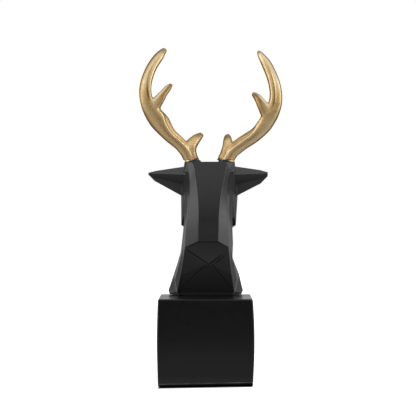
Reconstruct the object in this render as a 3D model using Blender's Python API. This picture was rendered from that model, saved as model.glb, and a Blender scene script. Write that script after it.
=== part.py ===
"""Geometric deer bust on a square block, with a pair of antlers.

Metres, +Z up. The deer faces -Y and its left is +X.
"""

import math

import bmesh
import bpy
import numpy as np

MM = 0.001

# Block that the bust stands on. Its four sides swell a little between top and bottom.
PLINTH_WIDTH = 76.1 * MM
PLINTH_DEPTH = 75.2 * MM
PLINTH_HEIGHT = 70.0 * MM
PLINTH_SWELL = 0.8 * MM
PLINTH_CORNER = 1.6 * MM
PLINTH_EDGE = 1.5 * MM
PLINTH_LEVELS = 6
CORNER_STEPS = 4

# Gap between pieces that touch.
SEAT_GAP = 0.3 * MM

# Bust. Its facets are shares of its height. It leans a little, and turns more and more up to TURN_HEIGHT.
BUST_HEIGHT = 110.8 * MM
BUST_LEAN_DEG = 1.45
BUST_TURN_DEG = -1.7
TURN_AXIS_Y = 15.0 * MM
TURN_HEIGHT = 60.0 * MM
NAPE_SKEW = 1.2 * MM
WAIST_IN = 0.7 * MM
WAIST_DROP = 4.0 * MM
FOOT_BEVEL_RISE = 3.1 * MM
FOOT_BEVEL_IN = 1.2 * MM
NAPE_STEP = 6.0 * MM
NAPE_STEP_DROP = 0.8 * MM
NAPE_STEPS = 12
EYE_RIM = 1.1 * MM
EYE_DEPTH = 1.1 * MM
NOSTRIL_RIM = 0.5 * MM
NOSTRIL_DEPTH = 0.8 * MM

# Ears, from the middle of the head. Shares are of the cut where an ear leaves the head, at shoulder and tip.
EAR_LEFT_REACH = 51.4 * MM
EAR_RIGHT_REACH = 48.3 * MM
EAR_SEAT = 19.8 * MM
EAR_ROOT = 12.0 * MM
EAR_SHOULDER = 5.5 * MM
EAR_LEFT_SHARES = (0.32, 0.06)
EAR_RIGHT_SHARES = (0.42, 0.13)

# Stubs on the crown that carry the antlers.
PEDICLE_APART = 27.9 * MM
PEDICLE_TOP_RADIUS = 6.6 * MM
PEDICLE_FOOT_RADIUS = 8.0 * MM
PEDICLE_RISE = 1.0 * MM
PEDICLE_DEPTH = 10.0 * MM
PEDICLE_Y = -6.5 * MM
PEDICLE_SIDES = 16

# Antlers. Their lines are shares of their height above the stubs.
ANTLER_LEFT_HEIGHT = 92.5 * MM
ANTLER_RIGHT_HEIGHT = 90.0 * MM
ANTLER_SIDES = 12
BEAM_STEPS = 26
TINE_STEPS = 9
ANTLER_FLATNESS = 0.8
ANTLER_RIDGES = 3
ANTLER_RIDGE = 0.07
TIP_ARC_DEG = 75
TIP_STEPS = 3

# Corners of the bust's cuts, drawn for a bust this high: half width, depth and height from the foot's middle.
# A cut runs from nape to throat: nape strip, nape edge, flank, ridge, throat side, throat strip.
DRAWN_BUST = 110.8
FOOT = ((9, -6, 0), (23.4, -6, 0), (24.8, -13, 0), (31.4, -31, 0), (20, -37, 0), (8, -37.5, 0))
BREAST = ((9, 2.6, 17), (21, 2.6, 17), (25.6, -6.5, 13), (27.4, -26, 17), (19, -45.5, 20), (6.5, -49.5, 21))
NECK = (
    (
        (7.7, 20.8, 45.5), (17.8, 13.2, 40.3), (19.4, 2.5, 40), (21.9, -11, 35.5), (15.5, -40, 37),
        (5, -44.5, 37),
    ),
    ((7.9, 20.5, 57), (17.4, 12.8, 56), (18.6, 1.5, 55), (20.5, -8, 53), (12.5, -33, 50), (4.5, -37, 49.5)),
    ((8.2, 20, 70), (15.9, 12, 70), (17.4, 0.5, 69), (19.8, -6, 67), (12, -25, 57), (4.5, -29, 55)),
    ((9.4, 16.5, 84), (15.4, 9, 84), (17.4, -1.5, 83), (19.8, -7.5, 80), (17, -16, 62), (5.5, -26, 55)),
    ((12, 10.5, 98), (16, 4.5, 98), (18.3, -4, 94), (21.5, -12, 87), (21, -17, 65), (7, -27, 54.8)),
)
HEAD = (
    ((14, 2.5, 110.3), (18.8, -1, 109.6), (20, -9, 101), (23.6, -20, 86), (22.8, -22, 58), (9, -30, 54.5)),
    ((13, -12, 110.8), (18.5, -14, 107), (20.5, -18, 100), (23.6, -32, 84), (20.5, -34, 56), (8.5, -38, 54)),
    ((11, -31, 105), (17, -32, 101), (18.5, -35, 93), (19, -44, 81), (15.5, -46, 59), (7.5, -47, 56)),
    ((7.2, -50, 92), (11, -50.5, 88.5), (12.5, -52, 82), (13, -56, 75), (11, -58, 62), (6.5, -58, 58.5)),
    ((6, -68, 83.5), (9, -68.5, 80.5), (10, -69.5, 76), (10.3, -70, 71.5), (8.8, -71, 62), (5.5, -71, 59.5)),
    ((5.2, -80, 78.5), (8.6, -80.5, 76.5), (9.2, -81, 72.5), (9, -81, 69.5), (7.2, -79, 63), (4.5, -78, 61)),
    ((3.6, -84.3, 75.5), (5.6, -85, 74), (6, -85, 71), (6, -84.3, 69), (4.8, -81.5, 64.8), (3, -80, 63.8)),
)
# Column of the ridge in a cut.
RIDGE = 3
# The point where the four facets below the nape meet.
NAPE_CROSS = (-1.8, 10, 27)
# Facets of the head that hold the eyes and the nostrils, as cut and column of their first corner.
EYE_FACET = (2, 1)
NOSTRIL_FACET = (5, 1)

# Cut through an ear where it leaves the head: depth and height, from the top edge round the back.
EAR_CUT = ((-23, 107.3), (-12, 99.8), (-19, 91.3), (-15.5, 80.8), (-21.5, 82.2), (-24.5, 95))
EAR_TIP = (-21, 101.5)

# Lines of the antlers, drawn for an antler this high: outward, back, up, radius.
DRAWN_LEFT = 92.5
LEFT_BEAM = (
    (0.3, 0, 0, 6.6), (4.4, 2, 7.2, 5.9), (10.4, 4, 13.4, 5.2), (19, 7, 20.7, 5.5), (26.6, 9.5, 30.9, 7.3),
    (33.3, 11, 40.6, 6.6), (37.4, 11, 50, 5.3), (38.1, 9, 59.2, 4.9), (36.2, 6, 68.4, 4.5),
    (32.5, 2, 77.4, 4.2), (27.2, -3, 85.7, 3.8), (23.4, -7, 91, 2.3),
)
LEFT_TINE = (
    (32.0, 10.5, 42.2, 5.4), (27, 9, 48.7, 4.3), (23.3, 7, 54.1, 3.2), (19.9, 5, 58.6, 2.7),
    (17.8, 3.2, 61.2, 1.8),
)
LEFT_BROW = (
    (0.7, 0, 1.7, 5.6), (1.8, -0.5, 6.5, 5.5), (1.1, -2, 11.4, 5.2), (-2.2, -4.5, 16, 4.3),
    (-5.2, -7, 19, 3.3), (-7, -8.5, 20.7, 2.4),
)
DRAWN_RIGHT = 90.0
RIGHT_BEAM = (
    (-0.1, 0, 0, 7.4), (4.9, 2, 6.9, 6.4), (12.5, 4, 12.6, 5.6), (22.9, 7, 19.1, 5.3),
    (31.5, 9.5, 27.2, 5.5), (36.2, 11, 36.5, 6.5), (39.9, 11.5, 45.1, 5.6), (40.7, 10, 53.8, 5.1),
    (39.4, 7.5, 62.6, 4.8), (36.7, 4, 71, 4.5), (32.9, -0.5, 79.7, 4.0), (28.7, -4.5, 86.6, 2.7),
    (26.8, -7, 89.6, 1.5),
)
RIGHT_TINE = (
    (34.4, 10.5, 36.4, 5.8), (29.9, 9, 43.8, 4.5), (26.4, 7, 49.5, 3.4), (23.8, 5, 52.6, 2.5),
    (22.3, 3.7, 53.8, 1.9),
)
RIGHT_BROW = (
    (0.1, 0, 1.9, 6.2), (1.1, -0.5, 5.5, 5.8), (1.6, -2, 10.8, 4.7), (1.3, -4.5, 15.6, 3.8),
    (1.1, -7, 18.6, 3.0), (1.1, -8.4, 20.1, 2.1),
)

BLACK = (0.012, 0.012, 0.013, 1)
GOLD = (0.56, 0.40, 0.19, 1)


def clear_scene():
    """Removes every object of the startup scene."""
    for obj in list(bpy.data.objects):
        bpy.data.objects.remove(obj)


def make_material(name, color, roughness, metallic):
    """A Principled material of one colour."""
    material = bpy.data.materials.new(name)
    material.use_nodes = True
    shader = material.node_tree.nodes["Principled BSDF"]
    shader.inputs["Base Color"].default_value = color
    shader.inputs["Roughness"].default_value = roughness
    shader.inputs["Metallic"].default_value = metallic
    return material


def make_object(name, points, faces, material=None):
    """An object from points and polygons, with its faces turned outwards and unused points left out."""
    mesh = bpy.data.meshes.new(name)
    mesh.from_pydata([tuple(point) for point in points], [], faces)
    shell = bmesh.new()
    shell.from_mesh(mesh)
    loose = [vert for vert in shell.verts if not vert.link_faces]
    bmesh.ops.delete(shell, geom=loose, context="VERTS")
    bmesh.ops.recalc_face_normals(shell, faces=shell.faces)
    shell.to_mesh(mesh)
    shell.free()
    if material:
        mesh.materials.append(material)
    obj = bpy.data.objects.new(name, mesh)
    bpy.context.scene.collection.objects.link(obj)
    return obj


def tube_faces(rings, sides):
    """Quads between rings of as many sides, and a cap at each end."""
    faces = [tuple(range(sides)), tuple(range((rings - 1) * sides, rings * sides))]
    for ring in range(rings - 1):
        for side in range(sides):
            after = (side + 1) % sides
            low, high = ring * sides, (ring + 1) * sides
            faces.append((low + side, low + after, high + after, high + side))
    return faces


def join(base, cutter, operation="UNION"):
    """Applies a Boolean of the cutter to the base, and deletes the cutter."""
    boolean = base.modifiers.new(operation, "BOOLEAN")
    boolean.operation = operation
    boolean.solver = "EXACT"
    boolean.object = cutter
    graph = bpy.context.evaluated_depsgraph_get()
    mesh = bpy.data.meshes.new_from_object(base.evaluated_get(graph))
    base.modifiers.remove(boolean)
    base.data = mesh
    bpy.data.objects.remove(cutter)


def curve_through(points, steps):
    """A smooth line through points of any number of values: each stretch is a cubic whose slope at a point is
    half the step between that point's neighbours."""
    points = np.array(points, dtype=float)
    padded = np.vstack([2 * points[0] - points[1], points, 2 * points[-1] - points[-2]])
    stations = np.linspace(0, len(points) - 1, steps)
    index = np.minimum(stations.astype(int), len(points) - 2)
    t = (stations - index)[:, None]
    before, start, end, after = (padded[index + offset] for offset in range(4))
    return 0.5 * (
        2 * start
        + (end - before) * t
        + (2 * before - 5 * start + 4 * end - after) * t**2
        + (3 * start - before - 3 * end + after) * t**3
    )


def rounded_square(half_x, half_y, radius):
    """Corners of a rectangle with round corners, counter-clockwise."""
    points = []
    for quarter, (side_x, side_y) in enumerate(((1, 1), (-1, 1), (-1, -1), (1, -1))):
        for step in range(CORNER_STEPS + 1):
            angle = math.pi / 2 * (quarter + step / CORNER_STEPS)
            x = side_x * (half_x - radius) + radius * math.cos(angle)
            y = side_y * (half_y - radius) + radius * math.sin(angle)
            points.append((x, y))
    return points


def plinth_levels():
    """Height and inset of each level: the edges are quarter circles, and the sides swell along a parabola."""
    levels = []
    for step in range(CORNER_STEPS + 1):
        angle = math.pi / 2 * step / CORNER_STEPS
        levels.append((PLINTH_EDGE * (1 - math.cos(angle)), PLINTH_EDGE * (1 - math.sin(angle))))
    for level in range(1, PLINTH_LEVELS):
        share = level / PLINTH_LEVELS
        height = PLINTH_EDGE + share * (PLINTH_HEIGHT - 2 * PLINTH_EDGE)
        levels.append((height, -PLINTH_SWELL * 4 * share * (1 - share)))
    for height, inset in reversed(levels[: CORNER_STEPS + 1]):
        levels.append((PLINTH_HEIGHT - height, inset))
    return levels


def build_plinth(material):
    """The block, standing on z = 0."""
    points = []
    levels = plinth_levels()
    for height, inset in levels:
        outline = rounded_square(PLINTH_WIDTH / 2 - inset, PLINTH_DEPTH / 2 - inset, PLINTH_CORNER)
        points += [(x, y, height) for x, y in outline]
    faces = tube_faces(len(levels), 4 * (CORNER_STEPS + 1))
    return make_object("plinth", points, faces, material)


def place(points):
    """Turns points of the bust's own frame about an upright axis, more so the higher they lie, leans them
    to the deer's right and stands them on the block."""
    points = np.asarray(points, dtype=float).copy()
    turn = math.radians(BUST_TURN_DEG) * np.clip(points[:, 2] / TURN_HEIGHT, 0, 1)
    lean = math.tan(math.radians(BUST_LEAN_DEG))
    x, y = points[:, 0].copy(), points[:, 1] - TURN_AXIS_Y
    points[:, 0] = x * np.cos(turn) - y * np.sin(turn) - points[:, 2] * lean
    points[:, 1] = x * np.sin(turn) + y * np.cos(turn) + TURN_AXIS_Y
    points[:, 2] += PLINTH_HEIGHT + SEAT_GAP
    return points


def bust_cuts():
    """Every cut of the bust as an array of corners, from foot to nose. The neck's cuts are made smooth."""
    scale = BUST_HEIGHT / DRAWN_BUST
    foot = np.array(FOOT, dtype=float) * scale
    sole = foot.copy()
    sole[:, 0] -= FOOT_BEVEL_IN
    sole[:, 1] += np.where(sole[:, 1] > sole[:, 1].mean(), -FOOT_BEVEL_IN, FOOT_BEVEL_IN)
    foot[:, 2] = FOOT_BEVEL_RISE
    neck = np.array(NECK + HEAD[:1], dtype=float).reshape(len(NECK) + 1, -1) * scale
    smooth = curve_through(neck, NAPE_STEPS).reshape(NAPE_STEPS, -1, 3)
    head = np.array(HEAD[1:], dtype=float) * scale
    return [sole, foot, np.array(BREAST, dtype=float) * scale, *smooth, *head]


def bust_shell(cuts):
    """Points, faces and the facets to be sunk of neck and head. Each cut is mirrored to a closed ring, and
    rings are joined by facets. Below the nape the ring's rear is left open for the crossed facets, the nape
    strip sits a little to the deer's right, and the ridge on that side is drawn in and down at the waist."""
    corners = len(cuts[0])
    sides = 2 * corners
    points = []
    for cut in cuts:
        mirrored = cut[::-1] * (-1, 1, 1)
        points += [*cut, *mirrored]
    faces = [tuple(range(sides)), tuple(range((len(cuts) - 1) * sides, len(cuts) * sides))]
    rear = sides - 1
    foot_ring, breast_ring, nape_ring = 1, 2, 3
    for ring in range(nape_ring, len(cuts) - len(HEAD)):
        for strip in (ring * sides, ring * sides + rear):
            points[strip] = points[strip] - (NAPE_SKEW, 0, 0)
    waist = (nape_ring + 1) * sides - 1 - RIDGE
    points[waist] = points[waist] + (WAIST_IN, 0, -WAIST_DROP)
    head_ring = len(cuts) - len(HEAD)
    sunk = {EYE_FACET: [], NOSTRIL_FACET: []}
    for ring in range(len(cuts) - 1):
        for side in range(sides):
            after = (side + 1) % sides
            open_rear = side in (0, rear, rear - 1) and foot_ring <= ring <= breast_ring
            if not open_rear:
                low, high = ring * sides, (ring + 1) * sides
                for (cut, column), found in sunk.items():
                    if ring == head_ring + cut and side in (column, rear - 1 - column):
                        found.append(len(faces))
                faces.append((low + side, low + after, high + after, high + side))
    return points, faces + nape_facets(points, sides, foot_ring, breast_ring, nape_ring), sunk


def nape_facets(points, sides, foot_ring, breast_ring, nape_ring):
    """The facets below the nape: a step under the nape's end, and four facets that meet at one point."""
    scale = BUST_HEIGHT / DRAWN_BUST
    strip, edge = 0, 1
    left, right = nape_ring * sides + strip, (nape_ring + 1) * sides - 1 - strip
    edge_left, edge_right = nape_ring * sides + edge, (nape_ring + 1) * sides - 1 - edge
    under = len(points)
    for top in (left, right):
        points.append(points[top] - np.array((0, NAPE_STEP, NAPE_STEP_DROP)))
    cross = len(points)
    points.append(np.array(NAPE_CROSS) * scale)
    low_left, low_right = foot_ring * sides + edge, (foot_ring + 1) * sides - 1 - edge
    mid_left, mid_right = breast_ring * sides + edge, (breast_ring + 1) * sides - 1 - edge
    foot = foot_ring * sides
    return [
        (left, right, under + 1, under),
        (edge_left, left, under),
        (right, edge_right, under + 1),
        (edge_left, under, cross),
        (under, under + 1, cross),
        (under + 1, edge_right, cross),
        (edge_left, cross, mid_left),
        (mid_left, cross, low_left),
        (edge_right, mid_right, cross),
        (mid_right, low_right, cross),
        (low_left, cross, foot),
        (foot, cross, foot + sides - 1),
        (foot + sides - 1, cross, low_right),
    ]


def sink_facets(obj, sunk):
    """Sinks a smaller facet into each facet that holds an eye or a nostril."""
    shell = bmesh.new()
    shell.from_mesh(obj.data)
    shell.faces.ensure_lookup_table()
    sizes = {EYE_FACET: (EYE_RIM, EYE_DEPTH), NOSTRIL_FACET: (NOSTRIL_RIM, NOSTRIL_DEPTH)}
    found = {key: [shell.faces[index] for index in indices] for key, indices in sunk.items()}
    for key, facets in found.items():
        rim, depth = sizes[key]
        bmesh.ops.inset_individual(shell, faces=facets, thickness=rim, depth=-depth)
    bmesh.ops.triangulate(shell, faces=shell.faces, quad_method="SHORT_EDGE")
    shell.to_mesh(obj.data)
    shell.free()


def build_ear(side, reach, shares):
    """One ear: its cut shrinks towards the tip and grows at the same rate into the head. Side is 1 for the
    deer's left and -1 for its right."""
    scale = BUST_HEIGHT / DRAWN_BUST
    cut = np.array(EAR_CUT) * scale
    tip = np.array(EAR_TIP) * scale
    shoulder_share, tip_share = shares
    shoulder = reach - EAR_SHOULDER
    root_share = 1 + (1 - shoulder_share) * (EAR_SEAT - EAR_ROOT) / (shoulder - EAR_SEAT)
    rings = ((EAR_ROOT, root_share), (shoulder, shoulder_share), (reach, tip_share))
    points = []
    for station, share in rings:
        ring = tip + (cut - tip) * share
        points += [(side * station, y, z) for y, z in ring]
    return make_object("ear", place(points), tube_faces(len(rings), len(cut)))


def pedicle_centre(side):
    """Middle of a stub's top in the bust's own frame."""
    return side * PEDICLE_APART / 2, PEDICLE_Y, BUST_HEIGHT + PEDICLE_RISE


def build_pedicle(side):
    """A round stub, wider at its foot inside the head."""
    x, y, top = pedicle_centre(side)
    points = []
    for height, radius in ((top - PEDICLE_DEPTH, PEDICLE_FOOT_RADIUS), (top, PEDICLE_TOP_RADIUS)):
        for step in range(PEDICLE_SIDES):
            angle = 2 * math.pi * step / PEDICLE_SIDES
            points.append((x + radius * math.cos(angle), y + radius * math.sin(angle), height))
    return make_object("pedicle", place(points), tube_faces(2, PEDICLE_SIDES))


def build_bust(material):
    """Neck, head, ears and stubs as one solid."""
    points, faces, sunk = bust_shell(bust_cuts())
    bust = make_object("deer_bust", place(np.array(points)), faces, material)
    sink_facets(bust, sunk)
    join(bust, build_ear(1, EAR_LEFT_REACH, EAR_LEFT_SHARES))
    join(bust, build_ear(-1, EAR_RIGHT_REACH, EAR_RIGHT_SHARES))
    for side in (1, -1):
        join(bust, build_pedicle(side))
    return bust


def branch(line, side, root, scale, steps, cut_flat):
    """A closed tube along a smooth line: each cut is a flattened round with low ridges, square to the line.
    The foot of a beam is cut level, and the tip is a small dome."""
    line = curve_through(np.array(line) * scale * MM, steps)
    centres = line[:, :3] * (side, 1, 1) + root
    tangents = np.gradient(centres, axis=0)
    dome = np.radians(np.linspace(0, TIP_ARC_DEG, TIP_STEPS + 1)[1:, None])
    ahead = tangents[-1] / np.linalg.norm(tangents[-1])
    centres = np.vstack([centres, centres[-1] + ahead * line[-1, 3] * ANTLER_FLATNESS * np.sin(dome)])
    tangents = np.vstack([tangents, np.tile(ahead, (TIP_STEPS, 1))])
    radius = np.vstack([line[:, 3:], line[-1, 3] * np.cos(dome)])
    steps += TIP_STEPS
    tangents /= np.linalg.norm(tangents, axis=1)[:, None]
    if cut_flat:
        upright = 1 - np.clip((centres[:, 2:] - root[2]) / (2 * radius), 0, 1)
        tangents = upright * (0, 0, 1) + (1 - upright) * tangents
        tangents /= np.linalg.norm(tangents, axis=1)[:, None]
    depth_axis = np.tile((0.0, 1.0, 0.0), (steps, 1))
    depth_axis -= tangents * (depth_axis * tangents).sum(axis=1)[:, None]
    depth_axis /= np.linalg.norm(depth_axis, axis=1)[:, None]
    width_axis = np.cross(tangents, depth_axis)
    angle = 2 * np.pi * np.arange(ANTLER_SIDES) / ANTLER_SIDES
    bump = 1 + ANTLER_RIDGE * np.cos(ANTLER_RIDGES * angle + np.pi)
    across = (radius * np.cos(angle) * bump)[:, :, None] * width_axis[:, None, :]
    along = (radius * np.sin(angle) * bump * ANTLER_FLATNESS)[:, :, None] * depth_axis[:, None, :]
    points = (centres[:, None, :] + across + along).reshape(-1, 3)
    return make_object("branch", points, tube_faces(steps, ANTLER_SIDES))


def build_antler(name, side, height, drawn, lines, material):
    """An antler of one beam and two tines, standing on its stub."""
    root = place([pedicle_centre(side)])[0] + (0, 0, SEAT_GAP)
    scale = height / (drawn * MM)
    beam, tine, brow = lines
    antler = branch(beam, side, root, scale, BEAM_STEPS, True)
    for line in (tine, brow):
        join(antler, branch(line, side, root, scale, TINE_STEPS, False))
    antler.name = name
    antler.data.name = name
    antler.data.materials.clear()
    antler.data.materials.append(material)
    antler.data.shade_smooth()
    return antler


def main():
    """Builds the four pieces."""
    clear_scene()
    block_paint = make_material("block_black", BLACK, 0.38, 0)
    bust_paint = make_material("bust_black", BLACK, 0.3, 0)
    gold_paint = make_material("antler_gold", GOLD, 0.42, 0.9)
    build_plinth(block_paint)
    build_bust(bust_paint)
    left_lines = (LEFT_BEAM, LEFT_TINE, LEFT_BROW)
    right_lines = (RIGHT_BEAM, RIGHT_TINE, RIGHT_BROW)
    build_antler("antler_left", 1, ANTLER_LEFT_HEIGHT, DRAWN_LEFT, left_lines, gold_paint)
    build_antler("antler_right", -1, ANTLER_RIGHT_HEIGHT, DRAWN_RIGHT, right_lines, gold_paint)


main()
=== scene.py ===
"""Looks of the faceted deer bust on its block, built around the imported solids.

Metres, +Z up. The deer faces -Y and its left is +X, and the camera stands behind it, on +Y, as in the
photograph. The bust is the solid's own shape with soft cast edges, the antlers are grown along their lines
with the crests and grooves of real antler, and the block is a swollen square with rounded edges.
"""

import logging
import math
from dataclasses import dataclass
from enum import Enum

import bmesh
import bpy
import numpy as np
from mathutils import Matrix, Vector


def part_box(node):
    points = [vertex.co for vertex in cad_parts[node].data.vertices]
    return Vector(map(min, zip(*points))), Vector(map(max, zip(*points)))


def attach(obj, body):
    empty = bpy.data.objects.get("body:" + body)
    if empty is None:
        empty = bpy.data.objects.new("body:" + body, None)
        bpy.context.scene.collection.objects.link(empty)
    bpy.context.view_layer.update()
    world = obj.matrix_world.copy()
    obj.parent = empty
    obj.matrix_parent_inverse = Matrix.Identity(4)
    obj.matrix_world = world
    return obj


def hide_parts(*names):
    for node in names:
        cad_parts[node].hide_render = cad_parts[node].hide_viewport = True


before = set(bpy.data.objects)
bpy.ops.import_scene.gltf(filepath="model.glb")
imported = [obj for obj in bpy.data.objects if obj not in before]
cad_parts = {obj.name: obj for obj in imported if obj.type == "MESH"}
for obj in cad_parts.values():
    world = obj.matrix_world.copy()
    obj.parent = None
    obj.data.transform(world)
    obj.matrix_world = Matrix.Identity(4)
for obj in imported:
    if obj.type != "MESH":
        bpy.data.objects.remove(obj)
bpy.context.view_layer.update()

MM = 0.001
TINY = 1e-15
LOG = logging.getLogger("deer_bust")

Socket = bpy.types.NodeSocket
Value = float | Socket
Color = tuple[float, float, float, float]
Point = tuple[float, float, float]
Pair = tuple[float, float]
Line = tuple[tuple[float, float, float, float], ...]

# Where a value starts and ends, and what it becomes there
Ramp = tuple[float, float, float, float]


class Side(Enum):
    """A side of the deer, as the sign of X there."""

    LEFT = 1
    RIGHT = -1


class Spread(Enum):
    """How a crest or groove falls off on either side of its line."""

    SHARP = "sharp"
    ROUND = "round"


# Node trees


def grey(level: float) -> Color:
    """A plain grey."""
    return level, level, level, 1.0


class Tree:
    """A node tree, with short calls that add nodes and join them."""

    def __init__(self, tree: bpy.types.NodeTree) -> None:
        """Takes the tree that the calls work on."""
        self.tree = tree

    def feed(self, target: Socket, value: Value | Point | Color) -> None:
        """Joins a socket to an input, or sets the input's plain value.

        Args:
            target: The input.
            value: The socket that feeds it, or its value.
        """
        if isinstance(value, Socket):
            self.tree.links.new(value, target)
        else:
            target.default_value = value

    def add(self, kind: str, inputs: dict | None = None, **settings: object) -> bpy.types.Node:
        """Adds a node.

        Args:
            kind: The node's type, such as ShaderNodeMix.
            inputs: Sockets by name or number, each with a value or with the socket that feeds it.
            settings: Properties of the node.

        Returns:
            The new node.
        """
        node = self.tree.nodes.new(kind)
        for name, value in settings.items():
            setattr(node, name, value)
        for name, value in (inputs or {}).items():
            self.feed(node.inputs[name], value)
        return node

    def math(self, operation: str, *values: Value, clamp: bool = False) -> Socket:
        """Adds a Math node.

        Args:
            operation: The node's operation.
            values: Its inputs in order, each a number or a socket.
            clamp: Whether the result is held between 0 and 1.

        Returns:
            The result's socket.
        """
        inputs = dict(enumerate(values))
        return self.add("ShaderNodeMath", inputs, operation=operation, use_clamp=clamp).outputs[0]

    def span(self, value: Socket, start: float, end: float, low: float = 0.0, high: float = 1.0,
             smooth: bool = True) -> Socket:
        """Maps a value from start..end to low..high, held at both ends.

        Args:
            value: The socket to map.
            start: The value that becomes low.
            end: The value that becomes high.
            low: Result at start.
            high: Result at end.
            smooth: Whether the change eases in and out.

        Returns:
            The result's socket.
        """
        kind = "SMOOTHSTEP" if smooth else "LINEAR"
        inputs = {0: value, 1: start, 2: end, 3: low, 4: high}
        return self.add("ShaderNodeMapRange", inputs, interpolation_type=kind).outputs[0]

    def blend(self, share: Value, first: Color | Socket, second: Color | Socket) -> Socket:
        """Mixes two colours.

        Args:
            share: How much of the second colour shows.
            first: The colour at share 0.
            second: The colour at share 1.

        Returns:
            The mixed colour's socket.
        """
        node = self.add("ShaderNodeMix", {"Factor": share}, data_type="RGBA")
        sockets = {item.identifier: item for item in (*node.inputs, *node.outputs)}
        self.feed(sockets["A_Color"], first)
        self.feed(sockets["B_Color"], second)
        return sockets["Result_Color"]

    def noise(self, vector: Socket, scale: Value, detail: float = 2.0, rough: float = 0.5) -> Socket:
        """Adds a Noise texture.

        Args:
            vector: Where the pattern is read.
            scale: Waves per metre.
            detail: Number of finer octaves.
            rough: Strength of each finer octave.

        Returns:
            The noise value's socket.
        """
        inputs = {"Vector": vector, "Scale": scale, "Detail": detail, "Roughness": rough}
        return self.add("ShaderNodeTexNoise", inputs).outputs["Fac"]


def effect_group(name: str, values: dict[str, float],
                 output: str) -> tuple[Tree, bpy.types.NodeOutputs, Socket]:
    """Starts a shader node group that reads a vector and some values and puts out one value.

    Args:
        name: The group's name.
        values: Its inputs beside the vector, each with its first value.
        output: Name of its output.

    Returns:
        The tree, the sockets of the group's inputs, and the socket that takes its result.
    """
    group = bpy.data.node_groups.new(name, "ShaderNodeTree")
    group.interface.new_socket(name="Vector", in_out="INPUT", socket_type="NodeSocketVector")
    for label, value in values.items():
        item = group.interface.new_socket(name=label, in_out="INPUT", socket_type="NodeSocketFloat")
        item.default_value = value
    group.interface.new_socket(name=output, in_out="OUTPUT", socket_type="NodeSocketFloat")
    tree = Tree(group)
    source = tree.add("NodeGroupInput").outputs
    return tree, source, tree.add("NodeGroupOutput").inputs[output]


@dataclass
class Effects:
    """The node groups that several finishes share.

    Attributes:
        finer: How many times finer the mottle's second noise is than its first.
        finer_share: Share of the second noise in the mottle.
        edge_pull: How much an edge adds to the noise that lets wear through.
        wear_level: What edge, noise and reach together have to pass for wear to show.
        wear_contrast: How sharply worn spots are bounded.
    """

    finer: float = 4.7
    finer_share: float = 0.35
    edge_pull: float = 0.8
    wear_level: float = 1.3
    wear_contrast: float = 4.0

    def __post_init__(self) -> None:
        """Builds each group once."""
        self.mottle = self.build_mottle()
        self.grain = self.build_grain()
        self.wear = self.build_wear()
        self.specks = self.build_specks()

    def build_mottle(self) -> bpy.types.NodeTree:
        """Cloudy variation: a broad noise and a share of a finer one, with the contrast raised about 0.5.

        Returns:
            The group.
        """
        tree, source, sink = effect_group("paint_mottle", {"Scale": 60.0, "Contrast": 2.0}, "Mask")
        broad = tree.noise(source["Vector"], source["Scale"], detail=3.0, rough=0.55)
        fine = tree.noise(source["Vector"], tree.math("MULTIPLY", source["Scale"], self.finer))
        both = tree.math("MULTIPLY", broad, 1 - self.finer_share)
        both = tree.math("MULTIPLY_ADD", fine, self.finer_share, both)
        centred = tree.math("SUBTRACT", both, 0.5)
        tree.feed(sink, tree.math("MULTIPLY_ADD", centred, source["Contrast"], 0.5, clamp=True))
        return tree.tree

    def build_grain(self) -> bpy.types.NodeTree:
        """Height of a cast and sprayed surface: slow waves plus a share of fine grain.

        Returns:
            The group.
        """
        values = {"Wave Scale": 120.0, "Grain Scale": 1500.0, "Grain Share": 0.2}
        tree, source, sink = effect_group("cast_grain", values, "Height")
        wave = tree.noise(source["Vector"], source["Wave Scale"], detail=1.0)
        grain = tree.noise(source["Vector"], source["Grain Scale"], rough=0.6)
        tree.feed(sink, tree.math("MULTIPLY_ADD", grain, source["Grain Share"], wave))
        return tree.tree

    def build_wear(self) -> bpy.types.NodeTree:
        """Patchy mask along edges: the edge value where it, a noise and the reach together pass a level. It
        gives the rubbed wear on the block and the painted highlight along the bust's edges.

        Returns:
            The group.
        """
        tree, source, sink = effect_group("edge_wear", {"Edge": 0.0, "Scale": 200.0, "Reach": 0.5}, "Mask")
        patchy = tree.noise(source["Vector"], source["Scale"], detail=3.0, rough=0.6)
        gate = tree.math("ADD", tree.math("MULTIPLY", source["Edge"], self.edge_pull), patchy)
        level = tree.math("SUBTRACT", self.wear_level, source["Reach"])
        mask = tree.math("MULTIPLY", tree.math("SUBTRACT", gate, level), self.wear_contrast, clamp=True)
        tree.feed(sink, tree.math("MULTIPLY", mask, source["Edge"]))
        return tree.tree

    def build_specks(self) -> bpy.types.NodeTree:
        """Mask of small dots: the middles of a share of the cells of a point pattern.

        Returns:
            The group.
        """
        tree, source, sink = effect_group("dust_specks", {"Scale": 120.0, "Size": 0.06, "Share": 0.1}, "Mask")
        cells = tree.add("ShaderNodeTexVoronoi", {"Vector": source["Vector"], "Scale": source["Scale"]})
        dot = tree.math("LESS_THAN", cells.outputs["Distance"], source["Size"])
        hue = tree.add("ShaderNodeSeparateColor", {"Color": cells.outputs["Color"]}).outputs[0]
        chosen = tree.math("LESS_THAN", hue, source["Share"])
        tree.feed(sink, tree.math("MULTIPLY", dot, chosen))
        return tree.tree


@dataclass(frozen=True)
class Grain:
    """Relief of a sprayed casting.

    Attributes:
        waves: Slow waves per metre.
        grains: Fine grains per metre.
        share: Height of the grain as a share of that of the waves.
        height: Height of the waves in metres.
        strength: Share of the relief that shows.
    """

    waves: float
    grains: float
    share: float
    height: float
    strength: float = 0.5


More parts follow.
